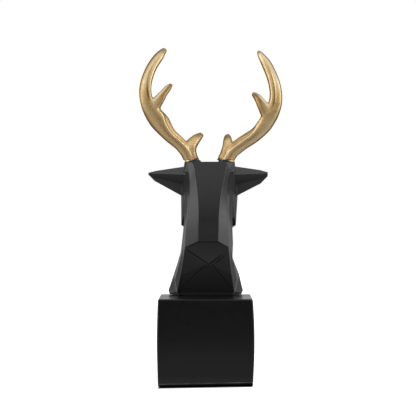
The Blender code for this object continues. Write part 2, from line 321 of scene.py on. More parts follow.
class Finish:
    """A material's tree with its Principled shader and the patterns' coordinates."""

    def __init__(self, name: str, effects: Effects) -> None:
        """Starts a material.

        Args:
            name: The material's name.
            effects: The shared node groups.
        """
        self.material = bpy.data.materials.new(name)
        self.material.use_nodes = True
        self.tree = Tree(self.material.node_tree)
        self.effects = effects
        self.shader = self.material.node_tree.nodes["Principled BSDF"]
        self.place = self.tree.add("ShaderNodeTexCoord").outputs["Object"]
        self.x, _, self.z = self.tree.add("ShaderNodeSeparateXYZ", {0: self.place}).outputs

    def effect(self, group: bpy.types.NodeTree, **values: Value) -> Socket:
        """Places a shared group and returns its output.

        Args:
            group: One of the shared groups.
            values: Its inputs beside the vector, with underscores for spaces.

        Returns:
            The group's output.
        """
        node = self.tree.add("ShaderNodeGroup", {"Vector": self.place}, node_tree=group)
        for name, value in values.items():
            self.tree.feed(node.inputs[name.replace("_", " ")], value)
        return node.outputs[0]

    def attribute(self, name: str) -> Socket:
        """The value of a mesh attribute."""
        return self.tree.add("ShaderNodeAttribute", attribute_name=name).outputs["Fac"]

    def set(self, socket: str, value: Value | Color) -> None:
        """Feeds a socket of the shader, or sets its value."""
        self.tree.feed(self.shader.inputs[socket], value)

    def off(self, spot: Point) -> Socket:
        """Distance of the surface from a spot."""
        inputs = {0: self.place, 1: spot}
        return self.tree.add("ShaderNodeVectorMath", inputs, operation="DISTANCE").outputs["Value"]

    def relief(self, grain: Grain) -> None:
        """Gives the surface the relief of a sprayed casting.

        Args:
            grain: Its waves and grain.
        """
        scales = {"Wave_Scale": grain.waves, "Grain_Scale": grain.grains, "Grain_Share": grain.share}
        height = self.effect(self.effects.grain, **scales)
        inputs = {"Height": height, "Strength": grain.strength, "Distance": grain.height}
        self.set("Normal", self.tree.add("ShaderNodeBump", inputs).outputs["Normal"])


@dataclass(frozen=True)
class BlockPaint:
    """Satin black paint on the block: paler towards the foot as a painted reflection of the floor, rubbed
    along a line over it, and below that line darker and without shine as painted shade.

    Attributes:
        black: The paint.
        dusty: The paint under the film of dust that lies in clouds.
        painted_floor_reflection: Painted reflection of the floor, paler towards the foot.
        rubbed: Bare spots of the rubbed band, and specks.
        under: Painted shade on the lowest edge and at the bottom of the pinhole.
        reflection_rise: How that painted reflection comes up on the sides with falling height.
        low_painted_light: How more of it just above the foot adds to that.
        worn_line: Height of the line above which the paint is rubbed and under which it has painted shade.
        worn_slant: How much that line falls towards the deer's left, per metre.
        worn_fade: Height over which the painted shade of the lowest edge comes in.
        band: Heights over the line at which the rubbed band starts and is full.
        sheen: Strength of the paint's shine.
        sheen_drop: Depths under the line at which the shine starts to go and is gone.
        speck_strength: How much of a speck shows.
        pinhole: Middle of the one pinhole in the back.
        pinhole_radius: Its radius, and the radius of the painted shade at its bottom.
        roughness: Roughness at the darker and at the dustier clouds.
        grain: Relief of the surface.
    """

    black: Color = (0.0040, 0.0040, 0.0042, 1)
    dusty: Color = (0.0072, 0.0072, 0.0076, 1)
    painted_floor_reflection: Color = (0.040, 0.0395, 0.039, 1)
    rubbed: Color = (0.15, 0.145, 0.14, 1)
    under: Color = (0.0012, 0.0012, 0.0012, 1)
    reflection_rise: Ramp = (42 * MM, 14 * MM, 0.0, 0.22)
    low_painted_light: Ramp = (9 * MM, 3 * MM, 0.0, 0.35)
    worn_line: float = 2.5 * MM
    worn_slant: float = 0.022
    worn_fade: float = 0.3 * MM
    band: Pair = (1.1 * MM, 0.5 * MM)
    sheen: float = 0.3
    sheen_drop: Pair = (0.1 * MM, 1.6 * MM)
    speck_strength: float = 0.4
    pinhole: Point = (3.1 * MM, 38.3 * MM, 63.0 * MM)
    pinhole_radius: Pair = (0.5 * MM, 0.3 * MM)
    roughness: Pair = (0.20, 0.28)
    grain: Grain = Grain(130.0, 1300.0, 0.12, 0.12 * MM)

    def build(self, effects: Effects) -> bpy.types.Material:
        """Builds the material.

        Args:
            effects: The shared node groups.

        Returns:
            The finished material.
        """
        finish = Finish("block_black_paint", effects)
        tree = finish.tree
        cloud = finish.effect(effects.mottle, Scale=38.0, Contrast=2.2)
        color = tree.blend(cloud, self.black, self.dusty)
        # Painted reflection of the floor: the paint turns paler towards the foot, and more so just above it.
        dust = tree.math("ADD", tree.span(finish.z, *self.reflection_rise), tree.span(finish.z, *self.low_painted_light))
        color = tree.blend(dust, color, self.painted_floor_reflection)
        level = tree.math("MULTIPLY_ADD", finish.x, self.worn_slant, finish.z)
        below = tree.span(level, self.worn_line, self.worn_line - self.worn_fade)
        band = tree.span(level, *(self.worn_line + rise for rise in self.band))
        band = tree.math("MULTIPLY", band, tree.math("SUBTRACT", 1.0, below))
        color = tree.blend(finish.effect(effects.wear, Edge=band, Scale=52.0, Reach=0.15), color, self.rubbed)
        # Under the worn line the paint is darkened: painted shade of the lowest edge.
        color = tree.blend(below, color, self.under)
        specks = finish.effect(effects.specks, Scale=95.0, Size=0.035, Share=0.1)
        color = tree.blend(tree.math("MULTIPLY", specks, self.speck_strength), color, self.rubbed)
        # The pinhole is a dark dot: painted shade of the hole.
        pit = tree.span(finish.off(self.pinhole), *self.pinhole_radius)
        color = tree.blend(pit, color, self.under)
        finish.set("Base Color", color)
        finish.set("Roughness", tree.span(cloud, 0.0, 1.0, *self.roughness, smooth=False))
        # The shine fades out under the worn line and in the pinhole, with their painted shade.
        sheen = tree.span(level, *(self.worn_line - drop for drop in self.sheen_drop), self.sheen, 0.0)
        finish.set("Specular IOR Level", tree.math("MULTIPLY", sheen, tree.math("SUBTRACT", 1.0, pit)))
        finish.relief(self.grain)
        return finish.material


@dataclass(frozen=True)
class BustPaint:
    """Satin black paint on the bust, with a painted highlight along its edges, painted shade in its engraved
    lines, painted light on its lower middle, and gold from the antlers on its stubs.

    Attributes:
        black: The paint.
        dusty: The paint under the film of dust that lies in clouds.
        low_painted_light: Painted light on the lower middle of the bust.
        edge_highlight: Painted highlight along the edges.
        engraved: Painted shade at the bottom of the engraved lines.
        speck: Specks of dust.
        gold: The gold that has crept onto the stubs.
        low_middle: Middle of the paler lower part, along X.
        low_half: Distances from there between which its painted light comes up.
        low_height: Heights between which its painted light comes up.
        creep: How much further the gold comes down on the outer sides.
        creep_from: Distances from the middle over which it comes further down, as shares of the distance
            between the stubs.
        creep_gap: How far the gold comes down everywhere.
        creep_edge: Half the width of its soft edge.
        ragged: How far its edge wavers.
        ragged_scale: Waves of that edge per metre.
        gold_metal: Metal share of the gold.
        gold_roughness: How much rougher than the black it is.
        sheen: How the shine fades with the depth in an engraved line, with its painted shade.
        roughness: Roughness at the darker and at the dustier clouds.
        grain: Relief of the surface.
    """

    black: Color = (0.0250, 0.0250, 0.0256, 1)
    dusty: Color = (0.0350, 0.0350, 0.0360, 1)
    low_painted_light: Color = (0.046, 0.046, 0.046, 1)
    edge_highlight: Color = (0.03, 0.03, 0.03, 1)
    engraved: Color = (0.0015, 0.0015, 0.0015, 1)
    speck: Color = (0.30, 0.29, 0.27, 1)
    gold: Color = (0.72, 0.52, 0.26, 1)
    low_middle: float = -2 * MM
    low_half: Pair = (24 * MM, 19 * MM)
    low_height: Pair = (108 * MM, 92 * MM)
    creep: float = 1.5 * MM
    creep_from: Pair = (0.45, 0.72)
    creep_gap: float = 0.15 * MM
    creep_edge: float = 0.1 * MM
    ragged: float = 1.1 * MM
    ragged_scale: float = 420.0
    gold_metal: float = 0.9
    gold_roughness: float = 0.1
    sheen: Ramp = (0.0, 0.8, 0.35, 0.05)
    roughness: Pair = (0.26, 0.36)
    grain: Grain = Grain(110.0, 1500.0, 0.1, 0.1 * MM)

    def gilding(self, finish: Finish, crown: Point, stub_apart: float) -> Socket:
        """Mask of the gold on the stubs: it ends at a ragged line that runs lower on their outer sides.

        Args:
            finish: The paint's finish.
            crown: The point midway between the tops of the two stubs.
            stub_apart: Distance between the middles of the two stubs.

        Returns:
            The mask's socket.
        """
        tree = finish.tree
        from_middle = tree.math("ABSOLUTE", tree.math("SUBTRACT", finish.x, crown[0]))
        outward = tree.span(from_middle, *(share * stub_apart for share in self.creep_from))
        waver = tree.math("SUBTRACT", tree.noise(finish.place, self.ragged_scale), 0.5)
        line = tree.math("MULTIPLY_ADD", outward, -self.creep, crown[2] - self.creep_gap)
        height = tree.math("ADD", finish.z, tree.math("MULTIPLY", waver, self.ragged))
        return tree.span(tree.math("SUBTRACT", height, line), -self.creep_edge, self.creep_edge)

    def build(self, effects: Effects, crown: Point, stub_apart: float) -> bpy.types.Material:
        """Builds the material.

        Args:
            effects: The shared node groups.
            crown: The point midway between the tops of the two stubs.
            stub_apart: Distance between the middles of the two stubs.

        Returns:
            The finished material.
        """
        finish = Finish("bust_black_paint", effects)
        tree = finish.tree
        cloud = finish.effect(effects.mottle, Scale=45.0, Contrast=2.0)
        color = tree.blend(cloud, self.black, self.dusty)
        # Painted light: the lower middle of the bust is made paler.
        aside = tree.math("ABSOLUTE", tree.math("SUBTRACT", finish.x, self.low_middle))
        low = tree.math("MULTIPLY", tree.span(aside, *self.low_half), tree.span(finish.z, *self.low_height))
        color = tree.blend(low, color, self.low_painted_light)
        # Painted highlight along the edges, through the patchy edge mask.
        rubbed = finish.effect(effects.wear, Edge=finish.attribute("edge"), Scale=160.0, Reach=0.6)
        color = tree.blend(rubbed, color, self.edge_highlight)
        # Painted shade in the engraved lines: darker, and with less shine, the deeper they are.
        hollow = finish.attribute("hollow")
        color = tree.blend(hollow, color, self.engraved)
        specks = finish.effect(effects.specks, Scale=150.0, Size=0.045, Share=0.02)
        color = tree.blend(specks, color, self.speck)
        gilt = self.gilding(finish, crown, stub_apart)
        color = tree.blend(gilt, color, self.gold)
        finish.set("Base Color", color)
        finish.set("Metallic", tree.math("MULTIPLY", gilt, self.gold_metal))
        plain = tree.span(cloud, 0.0, 1.0, *self.roughness, smooth=False)
        finish.set("Roughness", tree.math("MULTIPLY_ADD", gilt, self.gold_roughness, plain))
        finish.set("Specular IOR Level", tree.span(hollow, *self.sheen))
        finish.relief(self.grain)
        return finish.material


@dataclass(frozen=True)
class GoldPaint:
    """Satin gold paint with fine mottling and pits, with painted shade in the grooves, on shaded sides and at
    the rims, and painted highlights on the ridges and lit faces.

    Attributes:
        bright: The lighter clouds of the gold.
        mid: Its darker clouds.
        deep: Painted shade, and the colour of the pits.
        pale: Painted highlight.
        rim: Tint of the shine at the rims.
        rim_shade: Painted shade where the surface turns away from the eye.
        rim_reach: Between which turns it passes into the rim's shade.
        rim_strength: How much of that shade shows.
        uneven: How much the clouds shift the tone.
        pit_scale: Pits per metre.
        pit_level: Between which values of their noise the pits deepen.
        pit_strength: How the pits fade from the painted shade to the painted highlights.
        metal: Metal share of the paint.
        roughness: Roughness at the darker and at the lighter clouds.
        grain: Relief of the surface.
    """

    bright: Color = (0.90, 0.65, 0.33, 1)
    mid: Color = (0.83, 0.565, 0.235, 1)
    deep: Color = (0.24, 0.12, 0.022, 1)
    pale: Color = (1.0, 0.88, 0.60, 1)
    rim: Color = (0.12, 0.08, 0.05, 1)
    rim_shade: Color = (0.19, 0.12, 0.055, 1)
    rim_reach: Pair = (0.14, 0.5)
    rim_strength: float = 0.72
    uneven: float = 0.25
    pit_scale: float = 760.0
    pit_level: Pair = (0.48, 0.64)
    pit_strength: Ramp = (-0.4, 0.4, 0.60, 0.06)
    metal: float = 0.73
    roughness: Pair = (0.48, 0.38)
    grain: Grain = Grain(380.0, 1700.0, 0.35, 0.05 * MM)

    def build(self, effects: Effects) -> bpy.types.Material:
        """Builds the material.

        Args:
            effects: The shared node groups.

        Returns:
            The finished material.
        """
        finish = Finish("antler_gold_paint", effects)
        tree = finish.tree
        cloud = finish.effect(effects.mottle, Scale=170.0, Contrast=2.4)
        color = tree.blend(cloud, self.mid, self.bright)
        # The tone carries painted light and shade: below zero the gold turns to the deep colour as painted
        # shade, above zero to the pale colour as painted highlight. The pits show more in the painted shade.
        tone = finish.attribute("tone")
        uneven = tree.math("MULTIPLY", tree.math("SUBTRACT", cloud, 0.5), self.uneven)
        pits = tree.span(tree.noise(finish.place, self.pit_scale, rough=0.6), *self.pit_level)
        pitted = tree.math("MULTIPLY", pits, tree.span(tone, *self.pit_strength))
        low = tree.span(tree.math("SUBTRACT", uneven, tone), 0.0, 1.0, smooth=False)
        color = tree.blend(tree.math("MAXIMUM", pitted, low), color, self.deep)
        high = tree.span(tree.math("ADD", uneven, tone), 0.0, 1.0, smooth=False)
        color = tree.blend(high, color, self.pale)
        # Painted shade where the surface turns away from the eye.
        grazing = tree.add("ShaderNodeLayerWeight", {"Blend": 0.5}).outputs["Facing"]
        color = tree.blend(tree.span(grazing, *self.rim_reach, 0.0, self.rim_strength), color, self.rim_shade)
        finish.set("Base Color", color)
        finish.set("Metallic", self.metal)
        finish.set("Specular Tint", self.rim)
        finish.set("Roughness", tree.span(cloud, 0.0, 1.0, *self.roughness, smooth=False))
        finish.relief(self.grain)
        return finish.material


# Shells of points


@dataclass
class Shell:
    """A closed surface as arrays, for moving its points.

    Attributes:
        points: One row per point.
        triangles: Three point numbers per row.
        lines: Two point numbers per row, for the edges where facets meet in a line that is kept.
    """

    points: np.ndarray
    triangles: np.ndarray
    lines: np.ndarray

    def __post_init__(self) -> None:
        """Finds the edges."""
        self.edges, self.sides = self.find_edges()

    @classmethod
    def read(cls, mesh: bpy.types.Mesh) -> "Shell":
        """Reads a mesh.

        Args:
            mesh: The mesh to read.

        Returns:
            Its shell.
        """
        mesh.calc_loop_triangles()
        triangles = np.empty(len(mesh.loop_triangles) * 3, dtype=np.int64)
        mesh.loop_triangles.foreach_get("vertices", triangles)
        return cls(points_of(mesh), triangles.reshape(-1, 3), np.empty((0, 2), dtype=np.int64))

    def find_edges(self) -> tuple[np.ndarray, np.ndarray]:
        """Lists the edges in rising order of their ends.

        Returns:
            Two point numbers per edge, and three edge numbers per triangle.
        """
        ends = np.sort(self.triangles[:, (0, 1, 1, 2, 2, 0)].reshape(-1, 2), axis=1)
        count = len(self.points)
        keys, number = np.unique(ends[:, 0] * count + ends[:, 1], return_inverse=True)
        return np.stack([keys // count, keys % count], axis=1), number.reshape(-1, 3)

    def facings(self) -> np.ndarray:
        """Outward normals of the triangles, each as long as twice the triangle's area."""
        a, b, c = (self.points[self.triangles[:, corner]] for corner in range(3))
        return np.cross(b - a, c - a)

    def keep_sharp(self, least: float) -> None:
        """Keeps as lines the edges between facets that turn by more than an angle.

        Args:
            least: The angle in degrees.
        """
        facing = unit(self.facings())
        owner = np.repeat(np.arange(len(self.triangles)), 3)[np.argsort(self.sides.ravel(), kind="stable")]
        first, second = owner.reshape(-1, 2).T
        turn = np.degrees(np.arccos(np.clip((facing[first] * facing[second]).sum(axis=1), -1, 1)))
        self.lines = self.edges[turn > least]

    def on_lines(self) -> np.ndarray:
        """How many kept lines meet at each point."""
        return np.bincount(self.lines.ravel(), minlength=len(self.points))

    def halve(self, too_long: np.ndarray) -> None:
        """Halves edges, and cuts a triangle with one, two or three halved edges into two, three or four.

        Args:
            too_long: Whether each edge is halved.
        """
        count = len(self.points)
        keys = self.edges[:, 0] * count + self.edges[:, 1]
        middle = np.full(len(self.edges), -1)
        middle[too_long] = count + np.arange(too_long.sum())
        ends = np.sort(self.lines, axis=1)
        on_line = middle[np.searchsorted(keys, ends[:, 0] * count + ends[:, 1])]
        cut = on_line >= 0
        halves = [np.stack([self.lines[cut, end], on_line[cut]], axis=1) for end in (0, 1)]
        lines = np.vstack([self.lines[~cut], *halves])
        points = np.vstack([self.points, self.points[self.edges[too_long]].mean(axis=1)])
        marks = too_long[self.sides]
        number = marks.sum(axis=1)
        first = np.where(number == 1, marks.argmax(axis=1), (marks.argmin(axis=1) + 1) % 3)[:, None]
        turned = (first + np.arange(3)) % 3
        a, b, c = np.take_along_axis(self.triangles, turned, axis=1).T
        ab, bc, ca = middle[np.take_along_axis(self.sides, turned, axis=1)].T
        parts = (
            (number == 0, (a, b, c)),
            (number == 1, (a, ab, c, ab, b, c)),
            (number == 2, (ab, b, bc, a, ab, bc, a, bc, c)),
            (number == 3, (a, ab, ca, ab, b, bc, ca, bc, c, ab, bc, ca)),
        )
        triangles = np.vstack([np.stack(corners, axis=1)[rows].reshape(-1, 3) for rows, corners in parts])
        self.points, self.triangles, self.lines = points, triangles, lines
        self.edges, self.sides = self.find_edges()

    def mean_of_neighbours(self, values: np.ndarray) -> np.ndarray:
        """Averages values over the points that share an edge with each point.

        Args:
            values: One row per point.

        Returns:
            The averages, one row per point.
        """
        first, second = self.edges.T
        count = len(self.points)
        degree = np.bincount(first, minlength=count) + np.bincount(second, minlength=count)
        columns = [
            np.bincount(first, column[second], count) + np.bincount(second, column[first], count)
            for column in values.T
        ]
        return np.stack(columns, axis=1) / np.maximum(degree, 1)[:, None]

    def normals(self) -> np.ndarray:
        """Outward unit normals of the points: sums of the normals of the triangles round them, made unit.

        Returns:
            One row per point.
        """
        facing = self.facings()
        total = np.zeros_like(self.points)
        for axis in range(3):
            for corner in range(3):
                total[:, axis] += np.bincount(self.triangles[:, corner], facing[:, axis], len(self.points))
        return total / np.maximum(np.linalg.norm(total, axis=1), TINY)[:, None]

    def smooth(self, rounds: int, weight: np.ndarray | float) -> None:
        """Moves points towards their neighbours' mean.

        Args:
            rounds: How many times.
            weight: Share of the way moved each time, one for all or one per point.
        """
        share = np.broadcast_to(np.asarray(weight, dtype=float), (len(self.points),))[:, None]
        for _ in range(rounds):
            self.points += share * (self.mean_of_neighbours(self.points) - self.points)

    def fill(self, rounds: int, weight: np.ndarray, refresh: int = 8) -> None:
        """Fills hollows into smooth webs: points move along their normals, and only outwards, towards their
        neighbours' mean.

        Args:
            rounds: How many times.
            weight: Share of the way moved each time, one per point.
            refresh: After how many rounds the normals are found again.
        """
        for step in range(rounds):
            if step % refresh == 0:
                facing = self.normals()
            gap = ((self.mean_of_neighbours(self.points) - self.points) * facing).sum(axis=1)
            self.points += (weight * np.maximum(gap, 0))[:, None] * facing

    def write(self, mesh: bpy.types.Mesh) -> None:
        """Puts the points back into the mesh that they came from."""
        mesh.vertices.foreach_set("co", self.points.astype(np.float32).ravel())
        mesh.update()


def ease(value: np.ndarray, start: float, end: float) -> np.ndarray:
    """Smooth step from 0 at start to 1 at end.

    Args:
        value: Where the step is read.
        start: Where it leaves 0.
        end: Where it reaches 1.

    Returns:
        Values from 0 to 1.
    """
    share = np.clip((value - start) / (end - start), 0, 1)
    return share * share * (3 - 2 * share)


def points_of(mesh: bpy.types.Mesh) -> np.ndarray:
    """The points of a mesh.

    Args:
        mesh: The mesh to read.

    Returns:
        One row per point.
    """
    points = np.empty(len(mesh.vertices) * 3)
    mesh.vertices.foreach_get("co", points)
    return points.reshape(-1, 3)


def store(mesh: bpy.types.Mesh, name: str, values: np.ndarray) -> None:
    """Keeps a value per point as an attribute of the mesh."""
    mesh.attributes.new(name, "FLOAT", "POINT").data.foreach_set("value", values.astype(np.float32))


def make_mesh(name: str, points: np.ndarray, faces: list[list[int]]) -> bpy.types.Mesh:
    """A mesh from points and faces.

    Args:
        name: The mesh's name.
        points: One row per point.
        faces: Point numbers of each face, counter-clockwise seen from outside.

    Returns:
        The mesh.
    """
    mesh = bpy.data.meshes.new(name)
    mesh.from_pydata(points.tolist(), [], faces)
    return mesh


def add_piece(name: str, mesh: bpy.types.Mesh, material: bpy.types.Material, node: str) -> bpy.types.Object:
    """Puts a finished mesh into the scene in place of a solid.

    Args:
        name: The piece's name.
        mesh: Its mesh, already in place.
        material: Its finish.
        node: The solid that it stands for.

    Returns:
        The piece.
    """
    mesh.materials.clear()
    mesh.materials.append(material)
    mesh.shade_smooth()
    piece = bpy.data.objects.new(name, mesh)
    bpy.context.scene.collection.objects.link(piece)
    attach(piece, "root")
    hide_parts(node)
    LOG.info("%s: %d points, %d faces", name, len(mesh.vertices), len(mesh.polygons))
    return piece


def voxel_skin(mesh: bpy.types.Mesh, voxel: float) -> bpy.types.Mesh:
    """One even skin round everything in a mesh.

    Args:
        mesh: Closed shells, which may overlap.
        voxel: Edge length of the skin's faces.

    Returns:
        A new mesh of the skin.
    """
    holder = bpy.data.objects.new("skin", mesh)
    bpy.context.scene.collection.objects.link(holder)
    remesh = holder.modifiers.new("skin", "REMESH")
    remesh.mode = "VOXEL"
    remesh.voxel_size = voxel
    graph = bpy.context.evaluated_depsgraph_get()
    skin = bpy.data.meshes.new_from_object(holder.evaluated_get(graph))
    bpy.data.objects.remove(holder)
    return skin


def line_through(points: np.ndarray, count: int) -> np.ndarray:
    """A smooth line: each stretch is a cubic whose slope at a point is half the step between that point's
    neighbours.

    Args:
        points: Points of any number of values, one per row.
        count: Number of stations along the line.

    Returns:
        The line's stations, one per row.
    """
    padded = np.vstack([2 * points[0] - points[1], points, 2 * points[-1] - points[-2]])
    stations = np.linspace(0, len(points) - 1, count)
    index = np.minimum(stations.astype(int), len(points) - 2)
    t = (stations - index)[:, None]
    before, start, end, after = (padded[index + offset] for offset in range(4))
    return 0.5 * (
        2 * start
        + (end - before) * t
        + (2 * before - 5 * start + 4 * end - after) * t**2
        + (3 * start - before - 3 * end + after) * t**3
    )


def unit(rows: np.ndarray) -> np.ndarray:
    """Each row made one long."""
    return rows / np.linalg.norm(rows, axis=-1, keepdims=True)


def tube_grid(rings: int, sides: int, first: int = 0) -> list[list[int]]:
    """Faces of a tube whose two ends are closed by one face each.

    Args:
        rings: Number of rings.
        sides: Points in each ring.
        first: Number of the tube's first point.

    Returns:
        The faces, turned outwards for rings that run counter-clockwise seen from the tube's end.
    """
    ring, side = np.meshgrid(np.arange(rings - 1), np.arange(sides), indexing="ij")
    after = (side + 1) % sides
    here, there = ring * sides, (ring + 1) * sides
    corners = (here + side, here + after, there + after, there + side)
    quads = np.stack(corners, axis=-1).reshape(-1, 4) + first
    last = first + (rings - 1) * sides
    return quads.tolist() + [list(range(first + sides - 1, first - 1, -1)), list(range(last, last + sides))]


# Block


@dataclass
class Block:
    """The square block that the bust stands on.

    Attributes:
        paint: Its finish.
        swell: How far the middle of a side stands proud of its ends.
        right_swell: How much more the side on the deer's right does.
        corner: Radius of the upright corners.
        edge: Radius of the edges round top and underside.
        waver: Height of the slow unevenness of the cast sides.
        round_wave: Waves of the unevenness round the block, and their phase.
        rise_wave: Its waves up the block, in radians, and their phase.
        climb_wave: Waves of a finer unevenness round the block, their climb in radians, and their phase.
        climb_share: Height of the finer unevenness against the other.
        side_steps: Faces along a side between two corners.
        corner_steps: Faces round an upright corner.
        edge_steps: Faces over a rounded edge.
        level_steps: Levels between the two rounded edges.
        cap_steps: Rings of faces on top and on the underside.
    """

    paint: bpy.types.Material
    swell: float = 0.8 * MM
    right_swell: float = 0.55 * MM
    corner: float = 1.6 * MM
    edge: float = 1.5 * MM
    waver: float = 0.07 * MM
    round_wave: Pair = (3, 2.1)
    rise_wave: Pair = (5.2, 0.4)
    climb_wave: tuple[float, float, float] = (7, 6, 1.3)
    climb_share: float = 0.6
    side_steps: int = 36
    corner_steps: int = 8
    edge_steps: int = 8
    level_steps: int = 40
    cap_steps: int = 14

    def outline(self, half_x: float, half_y: float) -> tuple[np.ndarray, np.ndarray]:
        """Outline of a rectangle with round corners, counter-clockwise.

        Args:
            half_x: Half its width.
            half_y: Half its depth.

        Returns:
            Middles of the corner circles and directions from them, one row per point.
        """
        signs = np.array(((1, 1), (-1, 1), (-1, -1), (1, -1)), dtype=float)
        half = np.array((half_x - self.corner, half_y - self.corner))
        middles, directions = [], []
        for quarter in range(4):
            angle = math.pi / 2 * (quarter + np.linspace(0, 1, self.corner_steps + 1))
            turn = np.stack([np.cos(angle), np.sin(angle)], axis=1)
            here = signs[quarter] * half
            there = signs[(quarter + 1) % 4] * half
            share = np.linspace(0, 1, self.side_steps + 1)[1:-1, None]
            middles += [np.tile(here, (len(turn), 1)), here + share * (there - here)]
            directions += [turn, np.tile(turn[-1], (len(share), 1))]
        return np.vstack(middles), np.vstack(directions)

    def levels(self, height: float) -> np.ndarray:
        """Inset, height and spread of each level: quarter circles at the edges, a parabola between them, and
        at both ends levels that run in to the middle.

        Args:
            height: The block's height.

        Returns:
            Rows of inset, height and share of the full outline.
        """
        arc = np.linspace(0, math.pi / 2, self.edge_steps + 1)
        inset, rise = self.edge * (1 - np.sin(arc)), self.edge * (1 - np.cos(arc))
        low = np.stack([inset, rise, np.ones_like(arc)], axis=1)
        share = np.linspace(0, 1, self.level_steps + 1)[1:-1]
        inset, rise = -4 * self.swell * share * (1 - share), self.edge + share * (height - 2 * self.edge)
        side = np.stack([inset, rise, np.ones_like(share)], axis=1)
        high = low[::-1] * (1, -1, 1) + (0, height, 0)
        run = np.linspace(0, 1, self.cap_steps + 1)[1:-1]
        under = np.stack([np.full_like(run, self.edge), np.zeros_like(run), run], axis=1)
        over = under[::-1] + (0, height, 0)
        return np.vstack([under, low, side, high, over])

    def unevenness(self, around: np.ndarray, up: np.ndarray) -> np.ndarray:
        """Slow unevenness of the cast sides: a wave round the block times a wave up it, plus a share of a
        finer wave that climbs round it.

        Args:
            around: Angle of each point round the block.
            up: Share of the block's height of each point.

        Returns:
            How far each point lies in, from 0 to 1.
        """
        (turns, turn_phase), (rise, rise_phase) = self.round_wave, self.rise_wave
        fine_turns, climb, fine_phase = self.climb_wave
        broad = np.sin(turns * around + turn_phase) * np.sin(rise * up + rise_phase)
        fine = np.sin(fine_turns * around + fine_phase + climb * up)
        return 0.5 + 0.5 * (broad + self.climb_share * fine) / (1 + self.climb_share)

    def build(self) -> bpy.types.Object:
        """Builds the block in the solid's place: the outline at every level, swollen and slightly uneven.

        Returns:
            The piece.
        """
        low, high = (np.array(corner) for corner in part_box("plinth"))
        middle = (low + high) / 2
        tall = high[2] - low[2]
        half = (high - low) / 2 - np.array((self.swell, self.swell, 0))
        centres, directions = self.outline(half[0], half[1])
        inset, height, share = self.levels(tall).T[:, :, None, None]
        flat = (centres + directions * self.corner - inset * directions) * share
        grid = np.concatenate([flat, np.broadcast_to(height, (*flat.shape[:2], 1))], axis=2)
        rings, sides = grid.shape[:2]
        around = np.linspace(0, 2 * math.pi, sides, endpoint=False)
        up = grid[:, :, 2] / tall
        dent = self.waver * self.unevenness(around, up) * (share[:, :, 0] >= 1)
        grid = grid - np.pad(directions, ((0, 0), (0, 1))) * dent[:, :, None]
        right = np.clip(-grid[:, :, 0] / half[0], 0, 1)
        grid[:, :, 0] -= self.right_swell * 4 * up * (1 - up) * right
        points = grid.reshape(-1, 3) + (middle[0], middle[1], low[2])
        mesh = make_mesh("block", points, tube_grid(rings, sides))
        return add_piece("block", mesh, self.paint, "plinth")


# Bust


@dataclass(frozen=True)
class Groove:
    """An engraved line on the bust's back, seen from behind.

    Attributes:
        start: X and Z of one end, in millimetres.
        end: X and Z of the other end.
        depth: Its depth.
        fade: Share of its length over which it runs out at its end.
        begin: Shares of its length between which it sets in.
    """

    start: Pair
    end: Pair
    depth: float = 0.34 * MM
    fade: float = 0.2
    begin: Pair = (-0.02, 0.06)

    def off(self, points: np.ndarray) -> tuple[np.ndarray, np.ndarray]:
        """Measures points against the line as seen along Y.

        Args:
            points: One row per point.

        Returns:
            Each point's distance from the line, and its share of the way along it.
        """
        start, end = (np.array(corner) * MM for corner in (self.start, self.end))
        way = end - start
        flat = points[:, (0, 2)] - start
        share = np.clip(flat @ way / (way @ way), 0, 1)
        return np.linalg.norm(flat - share[:, None] * way, axis=1), share


